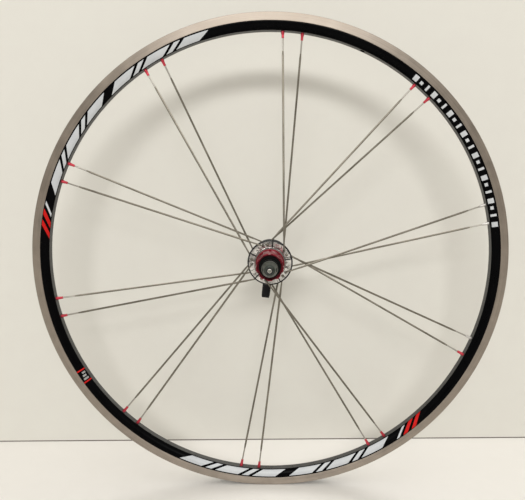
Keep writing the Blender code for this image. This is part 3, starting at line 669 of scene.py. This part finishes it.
def band_patch(bm, start, end, low, high, slant):
    """A thin sticker on the band. slant is how many degrees its outer edge is turned on from its inner."""
    columns = max(2, int(abs(end - start) / STICKER_COLUMN) + 1)
    rows = STICKER_ROWS
    layers = []
    for lift in STICKER_LIFTS:
        grid = []
        for column in range(columns + 1):
            angle = start + (end - start) * column / columns
            grid.append([])
            for row in range(rows + 1):
                share = low + (high - low) * row / rows
                grid[-1].append(bm.verts.new(band_point(angle + slant * share, share, lift)))
        layers.append(grid)
    back, front = layers
    for grid in layers:
        for c in range(columns):
            for r in range(rows):
                bm.faces.new((grid[c][r], grid[c + 1][r], grid[c + 1][r + 1], grid[c][r + 1]))
    for c in range(columns):
        for r in (0, rows):
            bm.faces.new((back[c][r], back[c + 1][r], front[c + 1][r], front[c][r]))
    for c in (0, columns):
        for r in range(rows):
            bm.faces.new((back[c][r], back[c][r + 1], front[c][r + 1], front[c][r]))


def slashes(bm, bm_red, start, step):
    """One white slash and two red ones, step degrees apart."""
    band_patch(bm, start, start + 0.9, 0.1, 0.93, SLANT)
    for i in (1, 2):
        band_patch(bm_red, start + i * step, start + i * step + 1.5, 0.04, 0.97, SLANT)


def slanted_blocks(bm, start, end):
    """Two runs of slanted blocks, wide and narrow in turn, with a pause between the runs."""
    widths = (5.6, 1.5, 5.6, 1.5, 5.6, 5.6, 1.5, 5.6, 1.5, 5.6)
    gap = 1.0
    pause = 3.4
    total = sum(widths) + gap * (len(widths) - 2) + pause
    stretch = (end - start) / total
    at = start
    for i, width in enumerate(widths):
        after = at + width * stretch
        band_patch(bm, at, after, 0.10, 0.90, SLANT)
        at = after + (pause if i == len(widths) // 2 - 1 else gap) * stretch


def upright_bars(bm, start, end):
    """A run of short upright bars, tall and low in turn."""
    count = 22
    pitch = (end - start) / count
    for i in range(count):
        low, high = ((0.2, 0.86), (0.34, 0.7), (0.2, 0.86))[i % 3]
        width = (0.62, 0.42, 0.3)[i % 3]
        band_patch(bm, start + i * pitch, start + (i + width) * pitch, low, high, 0.0)


def make_decals(looks):
    """Plain bars and slashes in place of the rim's lettering, alike on both faces of the rim."""
    for side, place in (("drive", Matrix()), ("nondrive", Matrix.Rotation(math.pi, 4, "Y"))):
        white, red, grey = bmesh.new(), bmesh.new(), bmesh.new()
        for run, slash_start in zip(BLOCK_RUNS, SLASH_STARTS):
            slanted_blocks(white, *run)
            slashes(white, red, slash_start, SLASH_STEP)
        upright_bars(white, *BAR_RUN)
        for angle in RED_MARKS:
            band_patch(red, angle, angle + 0.35, 0.02, 1.0, 0.0)
        for i in range(3):
            angle = GREY_MARKS_START + i * GREY_MARK_STEP
            band_patch(grey, angle, angle + 0.5, 0.18 + 0.08 * (i % 2), 0.8 - 0.1 * (i % 3), 0.0)
        for label, bm in (("white", white), ("red", red), ("grey", grey)):
            piece(f"rim_decal_{label}_{side}", bm, [looks[label]], "wheel", place=place)


# ---------------------------------------------------------------- spokes and nipples


def oval(centre, across, thin, half_width, half_thickness, sides=14):
    points = []
    for i in range(sides):
        angle = 2 * math.pi * i / sides
        sideways = across * half_width * math.cos(angle)
        points.append(centre + sideways + thin * half_thickness * math.sin(angle))
    return points


def make_spoke(number, spoke, looks):
    out = Vector((0, 0, spoke["out"]))
    along, across = spoke["along"], spoke["across"]
    corner, end = spoke["corner"], spoke["end"]
    bend = out.angle(along)
    leg = ELBOW_RADIUS * math.tan(bend / 2)
    rings = []

    def disc(centre, direction, radius):
        rings.append(oval(centre, across, direction.cross(across), radius, radius))

    under_head = spoke["hole"] + Vector((0, 0, spoke["head_face"])) - out * 0.1
    for height, radius in ((1.0, 0.5), (0.92, 1.0), (0.7, 1.5), (0.4, 1.8), (0.1, SPOKE_HEAD_RADIUS)):
        disc(under_head - out * SPOKE_HEAD_THICKNESS * height, out, radius)
    disc(under_head, out, SPOKE_HEAD_RADIUS - 0.2)
    disc(under_head + out * GAP, out, SPOKE_RADIUS)
    centre = corner - out * leg + (along - out * along.dot(out)).normalized() * ELBOW_RADIUS
    start = corner - out * leg - centre
    axis = out.cross(along).normalized()
    for step in range(ELBOW_STEPS + 1):
        turn = Matrix.Rotation(bend * step / ELBOW_STEPS, 3, axis)
        disc(centre + turn @ start, turn @ out, SPOKE_RADIUS)
    length = (end - corner).length
    blade_end = length - NIPPLE_REACH - BUTT_LENGTH

    def blade_station(distance, share):
        """share runs from 0 where the spoke is round to 1 where it is flat."""
        eased = share * share * (3 - 2 * share)
        half_width = SPOKE_RADIUS + (BLADE_HALF_WIDTH - SPOKE_RADIUS) * eased
        half_thickness = SPOKE_RADIUS + (BLADE_HALF_THICKNESS - SPOKE_RADIUS) * eased
        thin = along.cross(across)
        rings.append(oval(corner + along * distance, across, thin, half_width, half_thickness))

    for step in range(FADE_STEPS + 1):
        blade_station(BUTT_LENGTH + BLADE_FADE * step / FADE_STEPS, step / FADE_STEPS)
    for step in range(FADE_STEPS + 1):
        blade_station(blade_end - BLADE_FADE * (1 - step / FADE_STEPS), 1 - step / FADE_STEPS)
    disc(corner + along * (length + SPOKE_IN_NIPPLE), along, SPOKE_RADIUS)
    bm = bmesh.new()
    loft(bm, rings)
    # The blade takes the darker steel, painted shade; the butt before the nipple takes the lighter steel, a
    # painted highlight.
    wire_looks = [looks["blade"], looks["butt"]]
    made = piece(f"spoke_wire_{number:02d}", bm, wire_looks, "wheel", [f"spoke_{number:02d}"])
    butt_start = to_row(corner + along * blade_end)
    row_along = (to_row(end) - butt_start).normalized()
    for face in made.data.polygons:
        beyond = (face.center - butt_start).dot(row_along) > -0.5 * MM
        face.material_index = 1 if beyond else 0


def rounded_square(half, corner_share, sides=24):
    """Distances from the centre to a square's edge with its corners cut round, at even angles."""
    made = []
    for i in range(sides):
        angle = 2 * math.pi * i / sides
        reach = half / max(abs(math.cos(angle)), abs(math.sin(angle)))
        made.append(min(reach, half * corner_share))
    return made


def make_nipple(number, spoke, looks):
    """A round neck in the rim's hole, square wrench flats and a rounded tip, with the head inside the rim."""
    sides = 24
    circle = [1.0] * sides
    flats = rounded_square(1.0, 1.22)
    rings = []
    stations = (
        (-NIPPLE_REACH, 1.15, circle),
        (-NIPPLE_REACH + 0.1, 1.4, circle),
        (-NIPPLE_REACH + 0.5, 1.62, circle),
        (-NIPPLE_REACH + 1.1, 1.7, circle),
        (-NIPPLE_REACH + 1.5, 1.55, flats),
        (-4.6, 1.75, flats),
        (-3.8, 2.15, circle),
        (-2.6, 2.2, circle),
        (1.3, 2.2, circle),
        (1.8, 3.0, circle),
        (3.6, 3.0, circle),
        (4.2, 2.5, circle),
    )
    for height, size, shape in stations:
        points = []
        for i in range(sides):
            angle = 2 * math.pi * i / sides
            reach = size * shape[i]
            points.append(Vector((reach * math.cos(angle), reach * math.sin(angle), height)))
        rings.append(points)
    bm = bmesh.new()
    loft(bm, rings)
    look = looks["nipple_plain"] if number in PLAIN_NIPPLES else looks["nipple"]
    node = f"nipple_{number:02d}"
    piece(f"nipple_cap_{number:02d}", bm, [look], "wheel", [node], place=spoke["place"])


# ---------------------------------------------------------------- hub


def make_hub(spokes, looks):
    drive_back = DRIVE_FLANGE_FACE - FLANGE_THICKNESS
    far_front = FAR_FLANGE_FACE + FLANGE_THICKNESS
    profile = [
        (CHAMBER_RADIUS, MOUTH_FACE, 0.3),
        (MOUTH_RADIUS, MOUTH_FACE, 0.5),
        (MOUTH_RADIUS, DRIVE_FLANGE_FACE + 0.1, 0.5),
        (MOUTH_RADIUS + 0.9, DRIVE_FLANGE_FACE - 0.25, 0.4),
        (MOUTH_RADIUS + 1.6, DRIVE_FLANGE_FACE, 0.3),
        (DRIVE_FLANGE_RADIUS - EDGE_BAND, DRIVE_FLANGE_FACE, 0.1),
        (DRIVE_FLANGE_RADIUS - 0.3, DRIVE_FLANGE_FACE - 0.3, 0.3),
        (DRIVE_FLANGE_RADIUS, DRIVE_FLANGE_FACE - 0.9, 0.3),
        (DRIVE_FLANGE_RADIUS, drive_back + 0.5, 0.4),
        (DRIVE_FLANGE_RADIUS - 0.6, drive_back, 0.3),
        (MOUTH_RADIUS + 1.0, drive_back, 1.0),
        (MOUTH_RADIUS, drive_back - 1.6, 0.8),
        (MOUTH_RADIUS, 2.0, 4.0),
        (BARREL_RADIUS, -8.0, 4.0),
        (BARREL_RADIUS, far_front + 10.0, 4.0),
        (FAR_BARREL_RADIUS, far_front + 3.0, 2.0),
        (FAR_BARREL_RADIUS, far_front, 0.8),
        (FAR_FLANGE_RADIUS - 0.6, far_front, 0.3),
        (FAR_FLANGE_RADIUS, far_front - 0.6, 0.4),
        (FAR_FLANGE_RADIUS, FAR_FLANGE_FACE + 0.6, 0.4),
        (FAR_FLANGE_RADIUS - 0.6, FAR_FLANGE_FACE, 0.3),
        (FAR_BARREL_RADIUS, FAR_FLANGE_FACE, 0.8),
        (FAR_BARREL_RADIUS, SHELL_FAR_END, 0.5),
        (BEARING_SEAT, SHELL_FAR_END, 0.3),
        (BEARING_SEAT, FAR_BEARING_FLOOR, 0.2),
        (BEARING_SHOULDER, FAR_BEARING_FLOOR, 0.2),
        (BEARING_SHOULDER, NEAR_BEARING_FLOOR, 0.2),
        (BEARING_SEAT, NEAR_BEARING_FLOOR, 0.2),
        (BEARING_SEAT, CHAMBER_FLOOR, 0.2),
        (CHAMBER_RADIUS, CHAMBER_FLOOR, 0.2),
    ]
    bm = lathe(soften(profile, steps=3), 192)
    holes = bmesh.new()
    for spoke in spokes:
        bottom = spoke["face"] - spoke["side"] * FLANGE_THICKNESS
        low, high = sorted((bottom, spoke["face"]))
        place = Matrix.Translation((*spoke["hole"].xy, 0.0))
        wide, narrow = COUNTERSINK
        rod(holes, SPOKE_HOLE_RADIUS, SPOKE_HOLE_RADIUS, low - 1.0, high + 1.0, place, HOLE_SIDES)
        rod(holes, wide, narrow, low - 0.7, low + 0.6, place, HOLE_SIDES)
        rod(holes, narrow, wide, high - 0.6, high + 0.7, place, HOLE_SIDES)
    bm = carve(bm, holes)
    notches = bmesh.new()
    for notch in range(NOTCH_COUNT):
        place = clock(NOTCH_PHASE + notch * 360.0 / NOTCH_COUNT)
        low = (-NOTCH_WIDTH / 2, MOUTH_RADIUS + 0.2, DRIVE_FLANGE_FACE - NOTCH_DEPTH)
        box(notches, low, (NOTCH_WIDTH / 2, DRIVE_FLANGE_RADIUS + 2.0, 20.0), place)
    bm = carve(bm, notches)

    open_holes = [spoke["hole"].xy for spoke in spokes if spoke["out"] == spoke["side"]]

    def rule(middle, normal):
        flange = DRIVE_FLANGE_RADIUS if middle.z > 0 else FAR_FLANGE_RADIUS
        near_edge = middle.xy.length > flange - EDGE_BAND
        steep = abs(normal.z) < 0.9
        in_hole = steep and any((middle.xy - hole).length < 3.0 for hole in open_holes)
        at_floor = abs(middle.z - DRIVE_FLANGE_FACE + NOTCH_DEPTH) < 0.05
        notch_floor = at_floor and middle.xy.length > MOUTH_RADIUS
        # The flange's rim band is black; the walls of the open spoke holes and the notch floors are painted
        # black as shade in these recesses.
        if near_edge or in_hole or notch_floor:
            return 1
        # The ring round the freehub's root gets the darker mouth look, painted shade.
        on_mouth = middle.z > DRIVE_FLANGE_FACE - 0.5 and middle.xy.length < MOUTH_RADIUS + 0.5
        return 2 if on_mouth else 0

    hub_looks = [looks["hub"], looks["edge"], looks["mouth"]]
    piece("hub_body", bm, hub_looks, "wheel", ["hub_shell"], rule)


def make_freehub(looks):
    profile = [
        (FREEHUB_RADIUS, FREEHUB_END, 0.5),
        (FREEHUB_RADIUS, SPLINE_START, 0.4),
        (COLLAR_RADIUS, SPLINE_START, 0.5),
        (COLLAR_RADIUS, COLLAR_BACK, 0.5),
        (BOSS_RADIUS, COLLAR_BACK, 0.3),
        (BOSS_RADIUS, BOSS_END, 0.3),
        (BOSS_BORE, BOSS_END, 0.3),
        (BOSS_BORE, 23.1, 0.3),
        (BEARING_SHOULDER, 23.1, 0.2),
        (BEARING_SHOULDER, 25.1, 0.2),
        (BEARING_SEAT, 25.1, 0.2),
        (BEARING_SEAT, LOCKRING_FLOOR, 0.2),
        (LOCKRING_BORE, LOCKRING_FLOOR, 0.2),
    ]
    threads = 3
    for thread in range(threads):
        height = LOCKRING_FLOOR + 0.7 + thread
        profile += [(LOCKRING_BORE, height, 0.1), (LOCKRING_BORE - 0.35, height + 0.5, 0.1)]
    profile += [(LOCKRING_BORE, FREEHUB_END - 0.4, 0.1), (LOCKRING_BORE + 0.4, FREEHUB_END, 0.1)]
    bm = lathe(soften(profile), 180)
    grooves = bmesh.new()
    for groove in range(SPLINE_COUNT):
        half = NARROW_SPLINE_HALF_WIDTH if groove == 0 else SPLINE_HALF_WIDTH
        place = clock(groove * 360.0 / SPLINE_COUNT)
        low = (-half, FREEHUB_RADIUS - SPLINE_DEPTH, SPLINE_START + 0.1)
        box(grooves, low, (half, 22.0, 64.0), place)
    bm = carve(bm, grooves)
    piece("freehub_cassette_body", bm, [looks["freehub"]], "freehub", ["freehub_body"])
    seal = [
        (8.0, 48.0, 0.1),
        (13.0, 48.0, 0.2),
        (13.0, 55.8, 0.2),
        (14.0, 55.8, 0.2),
        (14.0, 56.8, 0.3),
        (13.0, 56.8, 0.3),
        (12.8, 56.5, 0.2),
        (11.2, 56.5, 0.2),
        (11.0, 56.8, 0.2),
        (9.8, 56.8, 0.3),
        (9.8, 55.2, 0.1),
        (8.0, 55.2, 0.1),
    ]

    def rule(middle, normal):
        return 0 if middle.z > 55.3 else 1

    piece(
        "freehub_outer_seal",
        lathe(soften(seal), 128),
        [looks["seal"], looks["bearing"]],
        "freehub",
        ["bearing_freehub_outer"],
        rule,
    )


def make_end_caps(looks):
    face = AXLE_END
    profile = [
        (SKEWER_BORE, face + STUB_LENGTH, 0.2),
        (STUB_RADIUS, face + STUB_LENGTH, 0.6),
        (STUB_RADIUS, face, 0.1),
        (CAP_RADIUS - 0.2, face, 0.3),
        (CAP_RADIUS, face - 0.6, 0.3),
        (CAP_RADIUS, face - CAP_FLANGE, 0.4),
        (CAP_NECK, face - CAP_FLANGE - CAP_SLOPE, 0.3),
        (CAP_NECK, LOCKRING_FLOOR, 0.1),
        (AXLE_SOCKET, LOCKRING_FLOOR, 0.1),
        (AXLE_SOCKET, 58.0, 0.1),
        (SKEWER_BORE, 58.0, 0.1),
    ]
    drive = lathe(soften(profile), 96)
    piece("axle_cap_drive", drive, [looks["cap_drive"]], "axle_group", ["end_cap_drive"])
    seal = SHELL_FAR_END - 0.8
    profile = [
        (SKEWER_BORE, -face - STUB_LENGTH, 0.2),
        (STUB_RADIUS, -face - STUB_LENGTH, 0.6),
        (STUB_RADIUS, -face, 0.1),
        (CAP_RADIUS, -face, 0.6),
        (CAP_RADIUS, -face + CAP_FLANGE, 0.4),
        (CAP_NECK, -face + CAP_FLANGE + CAP_SLOPE, 0.6),
        (CAP_NECK, seal - SEAL_THICKNESS, 0.6),
        (SEAL_RADIUS, seal - SEAL_THICKNESS, 0.5),
        (SEAL_RADIUS, seal, 0.3),
        (CAP_NECK, seal, 0.2),
        (CAP_NECK, -46.7, 0.1),
        (AXLE_SOCKET, -46.7, 0.1),
        (AXLE_SOCKET, -49.2, 0.1),
        (SKEWER_BORE, -49.2, 0.1),
    ]
    far = lathe(soften(profile), 96)
    piece("axle_cap_far", far, [looks["cap_black"]], "axle_group", ["end_cap_nondrive"])


# ---------------------------------------------------------------- quick-release skewer


def cut_teeth(bm, face, low, high, lean):
    """Cuts leaning grip teeth into a clamp face, from low to high of it along the axle."""
    teeth = bmesh.new()
    for tooth in range(TOOTH_COUNT):
        place = clock(360.0 * tooth / TOOTH_COUNT) @ Matrix.Translation((0, 9.0, face))
        leaning = place @ Matrix.Rotation(lean, 4, "Y")
        box(teeth, (-TOOTH_HALF_WIDTH, -0.95, low), (TOOTH_HALF_WIDTH, 2.0, high), leaning)
    return carve(bm, teeth)


def make_nut(looks):
    profile = [
        (INSERT_RADIUS + GAP, NUT_TIP, 0.15),
        (NUT_TIP_RADIUS, NUT_TIP, 0.5),
        (6.6, NUT_TIP - 1.4, 0.6),
        (7.8, NUT_TIP - 6.0, 1.2),
        (9.2, 78.0, 1.2),
        (9.9, 76.2, 0.5),
        (NUT_RADIUS, 75.4, 0.3),
        (NUT_RADIUS, CLAMP_FACE + 0.2, 0.2),
        (9.8, CLAMP_FACE, 0.1),
        (RECESS_RADIUS, CLAMP_FACE, 0.2),
        (RECESS_RADIUS, RECESS_FLOOR, 0.3),
        (SKEWER_BORE, RECESS_FLOOR, 0.1),
        (SKEWER_BORE, INSERT_FLOOR, 0.1),
        (INSERT_RADIUS + GAP, INSERT_FLOOR, 0.1),
    ]
    bm = lathe(soften(profile), 128)
    scallops = bmesh.new()
    for side in (-1, 1):
        place = Matrix.Translation((side * SCALLOP_OFFSET, 0, 0))
        rod(scallops, SCALLOP_RADIUS, SCALLOP_RADIUS, SCALLOP_FLOOR, 93.0, place, 48)
    bm = carve(bm, scallops)
    bm = cut_teeth(bm, CLAMP_FACE, -1.0, 0.25, TOOTH_LEAN)

    def rule(middle, normal):
        in_scallop = math.hypot(abs(middle.x) - SCALLOP_OFFSET, middle.y) < SCALLOP_RADIUS + 0.05
        return 1 if in_scallop and middle.z > SCALLOP_FLOOR else 0

    nut_looks = [looks["nut"], looks["cap_drive"]]
    piece("skewer_nut_body", bm, nut_looks, "nut", ["skewer_nut"], rule)
    insert = [
        (SKEWER_RADIUS + GAP, INSERT_FLOOR + GAP, 0.1),
        (INSERT_RADIUS, INSERT_FLOOR + GAP, 0.1),
        (INSERT_RADIUS, NUT_TIP - GAP, 0.3),
        (SKEWER_RADIUS + GAP, NUT_TIP - GAP, 0.4),
    ]
    bm = lathe(soften(insert), 64)
    piece("nut_nylon", bm, [looks["nylon"]], "nut_thread", ["nut_insert"])


def make_spring(name, side, body, node, looks):
    """A conical spring, small end towards the hub. The drive one spans from the axle's end to the skewer's
    nut and rides on no body.
    """
    wire = SPRING_WIRE_RADIUS
    count = int(SPRING_TURNS * SPRING_POINTS_PER_TURN)
    low, high = AXLE_END + STUB_LENGTH + wire + GAP, RECESS_FLOOR - wire - GAP
    centres = []
    for i in range(count + 1):
        share = i / count
        radius = SPRING_SMALL_RADIUS + SPRING_GROWTH * share
        height = side * (low + (high - low) * share)
        centres.append(around(360.0 * SPRING_TURNS * share, radius, height))
    rings = []
    for i, centre in enumerate(centres):
        forward = (centres[min(i + 1, count)] - centres[max(i - 1, 0)]).normalized()
        sideways = forward.cross(Vector((0, 0, 1))).normalized()
        rings.append(oval(centre, sideways, forward.cross(sideways), wire, wire, SPRING_WIRE_SIDES))
    bm = bmesh.new()
    loft(bm, rings)
    made = piece(name, bm, [looks["spring"]], body, [node])
    if body is None:
        ends = [to_row(Vector((0, 0, side * height))) for height in (low, high)]
        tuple(ends[0])
        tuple(ends[1])
        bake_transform(made)


def make_rod(looks):
    """The rod, threaded at the nut, with the eye for the lever's pin at its other end."""
    profile = [(0.0, ROD_TIP, 0.0), (1.2, ROD_TIP, 0.2), (1.9, ROD_TIP - 0.5, 0.1)]
    for thread in range(THREAD_COUNT):
        top = ROD_TIP - 0.7 - thread * THREAD_PITCH
        valley = top - THREAD_PITCH / 2
        profile += [(SKEWER_RADIUS, top, 0.08), (SKEWER_RADIUS - 0.4, valley, 0.08)]
    last = ROD_TIP - 0.7 - THREAD_COUNT * THREAD_PITCH
    end = PIN_HEIGHT + 1.0
    profile += [(SKEWER_RADIUS, last, 0.1), (SKEWER_RADIUS, end, 0.0), (0.0, end, 0.0)]
    bm = lathe(soften(profile, closed=False, steps=2), 40)
    pin_turn = clock(LEVER_ANGLE - 180.0) @ Matrix.Rotation(math.pi / 2, 4, "Y")
    across = Matrix.Translation((0, 0, PIN_HEIGHT)) @ pin_turn
    eye = bmesh.new()
    half = EYE_WIDTH / 2
    flat = half - EYE_CHAMFER
    rod(eye, EYE_RADIUS - EYE_CHAMFER, EYE_RADIUS, -half, -flat, across, 48)
    rod(eye, EYE_RADIUS, EYE_RADIUS, -flat, flat, across, 48)
    rod(eye, EYE_RADIUS, EYE_RADIUS - EYE_CHAMFER, flat, half, across, 48)
    bmesh.ops.remove_doubles(eye, verts=eye.verts, dist=0.01)
    back = across.inverted()
    hidden = [f for f in eye.faces if abs(abs((back @ f.calc_center_median()).z) - flat) < 0.01]
    bmesh.ops.delete(eye, geom=hidden, context="FACES_ONLY")
    bm = carve(bm, eye, "UNION")
    hole = bmesh.new()
    rod(hole, PIN_RADIUS + GAP, PIN_RADIUS + GAP, -6.0, 6.0, across, 40)
    bm = carve(bm, hole)

    def rule(middle, normal):
        return 1 if middle.z > ROD_TIP - 0.6 else 0

    rod_looks = [looks["steel"], looks["rod_end"]]
    piece("skewer_rod_threaded", bm, rod_looks, "skewer", ["skewer_rod"], rule)
    half = LEVER_HEAD_WIDTH / 2 - GAP
    dome = [(0.0, -half, 0.0), (PIN_RADIUS - 0.4, -half, 0.3), (PIN_RADIUS, -half + 0.5, 0.3)]
    dome += [(r, -z, cut) for r, z, cut in reversed(dome)]
    pin = lathe(soften(dome, closed=False), 40)
    piece("lever_pin", pin, [looks["steel"]], "skewer", ["qr_pin"], place=across)


def make_cup(looks):
    profile = [
        (RECESS_RADIUS, -CLAMP_FACE, 0.1),
        (9.8, -CLAMP_FACE, 0.1),
        (NUT_RADIUS, -CLAMP_FACE - 0.3, 0.2),
        (NUT_RADIUS, -CLAMP_FACE - 4.0, 0.8),
        (CUP_BACK_RADIUS, CUP_BACK, 0.6),
        (SKEWER_BORE, CUP_BACK, 0.2),
        (SKEWER_BORE, -RECESS_FLOOR, 0.1),
        (RECESS_RADIUS, -RECESS_FLOOR, 0.3),
    ]
    bm = lathe(soften(profile), 120)
    bm = cut_teeth(bm, -CLAMP_FACE, -0.25, 1.0, -TOOTH_LEAN)
    piece("clamp_cup_body", bm, [looks["cap"]], "axle_group", ["qr_clamp_cup"])


def make_lever(looks):
    """A forged lever: a cam head forked around the rod's eye, and an arm that sweeps towards the wheel."""
    arm = bmesh.new()
    rings = []
    first, last = -3.0, -LEVER_LENGTH
    thinning = LEVER_TIP_THICKNESS - LEVER_ROOT_THICKNESS
    for step in range(LEVER_STEPS + 1):
        share = step / LEVER_STEPS
        y = first + (last - first) * share
        middle = LEVER_ROOT_HEIGHT + LEVER_SWEEP * share**2
        half_thickness = (LEVER_ROOT_THICKNESS + thinning * share) / 2
        half_width = LEVER_WIDTH / 2 + 0.5 * math.sin(math.pi * share) * share
        tip = max(0.0, (share - 0.93) / 0.07)
        half_width *= 1.0 - 0.12 * tip**2
        half_thickness *= 1.0 - 0.25 * tip**2
        points = []
        for i in range(LEVER_SIDES):
            angle = 2 * math.pi * i / LEVER_SIDES
            c, s = math.cos(angle), math.sin(angle)
            squared = math.copysign(abs(c) ** 0.34, c), math.copysign(abs(s) ** 0.5, s)
            points.append(Vector((half_width * squared[0], y, middle + half_thickness * squared[1])))
        rings.append(points)
    loft(arm, rings)
    across = Matrix.Rotation(math.pi / 2, 4, "Y")
    cam = bmesh.new()
    cam_place = Matrix.Translation((0, 0, CAM_OFFSET)) @ across
    rod(cam, CAM_RADIUS, CAM_RADIUS, -LEVER_HEAD_WIDTH / 2, LEVER_HEAD_WIDTH / 2, cam_place, 64)
    bm = carve(cam, arm, "UNION")
    hollow = bmesh.new()
    half = EYE_WIDTH / 2 + FORK_CLEARANCE
    box(hollow, (-half, -FORK_FLOOR, -23.0), (half, 23.0, 23.0))
    bm = carve(bm, hollow)
    hole = bmesh.new()
    rod(hole, PIN_RADIUS + 0.2, PIN_RADIUS + 0.2, -12.0, 12.0, across, 40)
    bm = carve(bm, hole)
    bm = melt(bm, 0.34, 2)
    place = Matrix.Translation((0, 0, PIN_HEIGHT)) @ clock(LEVER_ANGLE - 180.0)
    piece("quick_release_lever", bm, [looks["lever"]], "lever", ["qr_lever"], place=place)


# ---------------------------------------------------------------- hidden pieces


def dress_hidden(looks):
    """The pieces inside the hub keep their CAD meshes and get a real finish."""
    dressed = {
        "hub_axle": "cap",
        "bearing_shell_left": "bearing",
        "bearing_shell_right": "bearing",
        "bearing_freehub_inner": "bearing",
        "ratchet_shell": "bearing",
        "ratchet_freehub": "bearing",
    }
    for node, look in dressed.items():
        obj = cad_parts[node]
        obj.data.materials.clear()
        obj.data.materials.append(looks[look])


# ---------------------------------------------------------------- stage, light and camera


def stage_quad(name, corners, look):
    mesh = bpy.data.meshes.new(name)
    mesh.from_pydata(corners, [], [(0, 1, 2, 3)])
    mesh.materials.append(look)
    obj = bpy.data.objects.new(name, mesh)
    bpy.context.scene.collection.objects.link(obj)
    return obj


def one_sided(look):
    """Lets the backdrop be seen only from the front, so that it doesn't hide the wheel's far side."""
    tree = look.node_tree
    shader = tree.nodes["Principled BSDF"]
    output = tree.nodes["Material Output"]
    clear = tree.nodes.new("ShaderNodeBsdfTransparent")
    side = tree.nodes.new("ShaderNodeNewGeometry")
    mix = tree.nodes.new("ShaderNodeMixShader")
    tree.links.new(side.outputs["Backfacing"], mix.inputs[0])
    tree.links.new(shader.outputs[0], mix.inputs[1])
    tree.links.new(clear.outputs[0], mix.inputs[2])
    tree.links.new(mix.outputs[0], output.inputs["Surface"])


def make_stage():
    floor_z = CAD_BOX[0].z
    floor_look = finish(
        "stage_floor", (0.755, 0.735, 0.70), (0.775, 0.755, 0.72), 0.45, grain=60.0, depth=0.0002
    )
    wall_look = finish("stage_wall", (0.69, 0.675, 0.625), (0.71, 0.70, 0.648), 0.7, grain=20.0, depth=0.0002)
    joint_look = finish("stage_joint", (0.10, 0.08, 0.07), (0.14, 0.12, 0.10), 0.8)
    signs = ((-1, -1), (1, -1), (1, 1), (-1, 1))
    stage_quad("floor", [(x * FLOOR_REACH, y * FLOOR_REACH, floor_z) for x, y in signs], floor_look)
    one_sided(wall_look)
    one_sided(joint_look)
    half = WALL_HALF_WIDTH
    left, right = WALL_Y - WALL_TURN * half, WALL_Y + WALL_TURN * half
    joint_top = floor_z + JOINT_HEIGHT
    strips = (("joint", floor_z, joint_top, joint_look), ("wall", joint_top, WALL_TOP, wall_look))
    for name, low, high, look in strips:
        corners = [(-half, left, low), (half, right, low), (half, right, high), (-half, left, high)]
        stage_quad(name, corners, look).visible_shadow = False


def area_light(name, place, target, size, power, colour):
    data = bpy.data.lights.new(name, "AREA")
    data.shape = "RECTANGLE"
    data.size, data.size_y = size
    data.energy = power
    data.color = colour
    obj = bpy.data.objects.new(name, data)
    bpy.context.scene.collection.objects.link(obj)
    obj.location = place
    obj.rotation_mode = "QUATERNION"
    obj.rotation_quaternion = (Vector(target) - Vector(place)).to_track_quat("-Z", "Y")


def make_light():
    area_light("key", (-0.05, -4.0, 1.8), (0, 0, 0.05), (2.2, 0.55), 80.0, (1.0, 0.99, 0.97))
    area_light("back", (0.4, 1.7, 1.3), (0, 0, 0), (1.4, 1.0), 14.0, (1.0, 0.98, 0.95))
    world = bpy.data.worlds.new("studio")
    world.use_nodes = True
    bpy.context.scene.world = world
    tree = world.node_tree
    direction = tree.nodes.new("ShaderNodeTexCoord").outputs["Generated"]
    split = tree.nodes.new("ShaderNodeSeparateXYZ")
    tree.links.new(direction, split.inputs[0])
    ramp = tree.nodes.new("ShaderNodeValToRGB")
    ramp.color_ramp.elements[0].position = 0.0
    ramp.color_ramp.elements[0].color = (0.62, 0.57, 0.50, 1.0)
    ramp.color_ramp.elements[1].position = 1.0
    ramp.color_ramp.elements[1].color = (1.0, 0.98, 0.94, 1.0)
    middle = ramp.color_ramp.elements.new(0.5)
    middle.color = (0.70, 0.66, 0.60, 1.0)
    share = maths(tree, "MULTIPLY_ADD", split.outputs["Z"], 0.5, 0.5)
    tree.links.new(share, ramp.inputs[0])
    away = tree.nodes.new("ShaderNodeMapRange")
    away.interpolation_type = "SMOOTHSTEP"
    away.inputs["From Min"].default_value = math.cos(math.radians(40.0))
    away.inputs["From Max"].default_value = math.cos(math.radians(12.0))
    tree.links.new(maths(tree, "MULTIPLY", split.outputs["Y"], -1.0), away.inputs["Value"])
    sky = blend_colours(tree, away.outputs[0], ramp.outputs[0], (0.12, 0.11, 0.10))
    tree.links.new(sky, tree.nodes["Background"].inputs["Color"])
    tree.nodes["Background"].inputs["Strength"].default_value = 1.0


def make_camera():
    data = bpy.data.cameras.new("camera")
    data.sensor_width = SENSOR_WIDTH
    data.lens = FOCAL_LENGTH
    data.shift_x = -0.0185
    data.shift_y = 0.0169
    data.clip_start, data.clip_end = 0.01, 100.0
    obj = bpy.data.objects.new("camera", data)
    bpy.context.scene.collection.objects.link(obj)
    right = Vector((1.0, 0.0035, 0.0)).normalized()
    back = Vector((0.00342, -0.99196, 0.12650)).normalized()
    up = back.cross(right).normalized()
    turn = Matrix((right, up, back)).transposed().to_4x4()
    obj.matrix_world = Matrix.Translation((0.0051, -0.6689, 0.0884)) @ turn
    bpy.context.scene.camera = obj
    bpy.context.scene.view_settings.view_transform = "Standard"


def build():
    looks = make_looks()
    spokes = plan_spokes()
    make_rim(spokes, looks)
    make_decals(looks)
    for number, spoke in enumerate(spokes, start=1):
        make_spoke(number, spoke, looks)
        make_nipple(number, spoke, looks)
    make_hub(spokes, looks)
    make_freehub(looks)
    make_end_caps(looks)
    make_nut(looks)
    make_spring("spring_drive", 1, None, "skewer_spring_drive", looks)
    make_spring("spring_far", -1, "axle_group", "skewer_spring_nondrive", looks)
    make_rod(looks)
    make_cup(looks)
    make_lever(looks)
    dress_hidden(looks)
    make_stage()
    make_light()
    make_camera()


build()
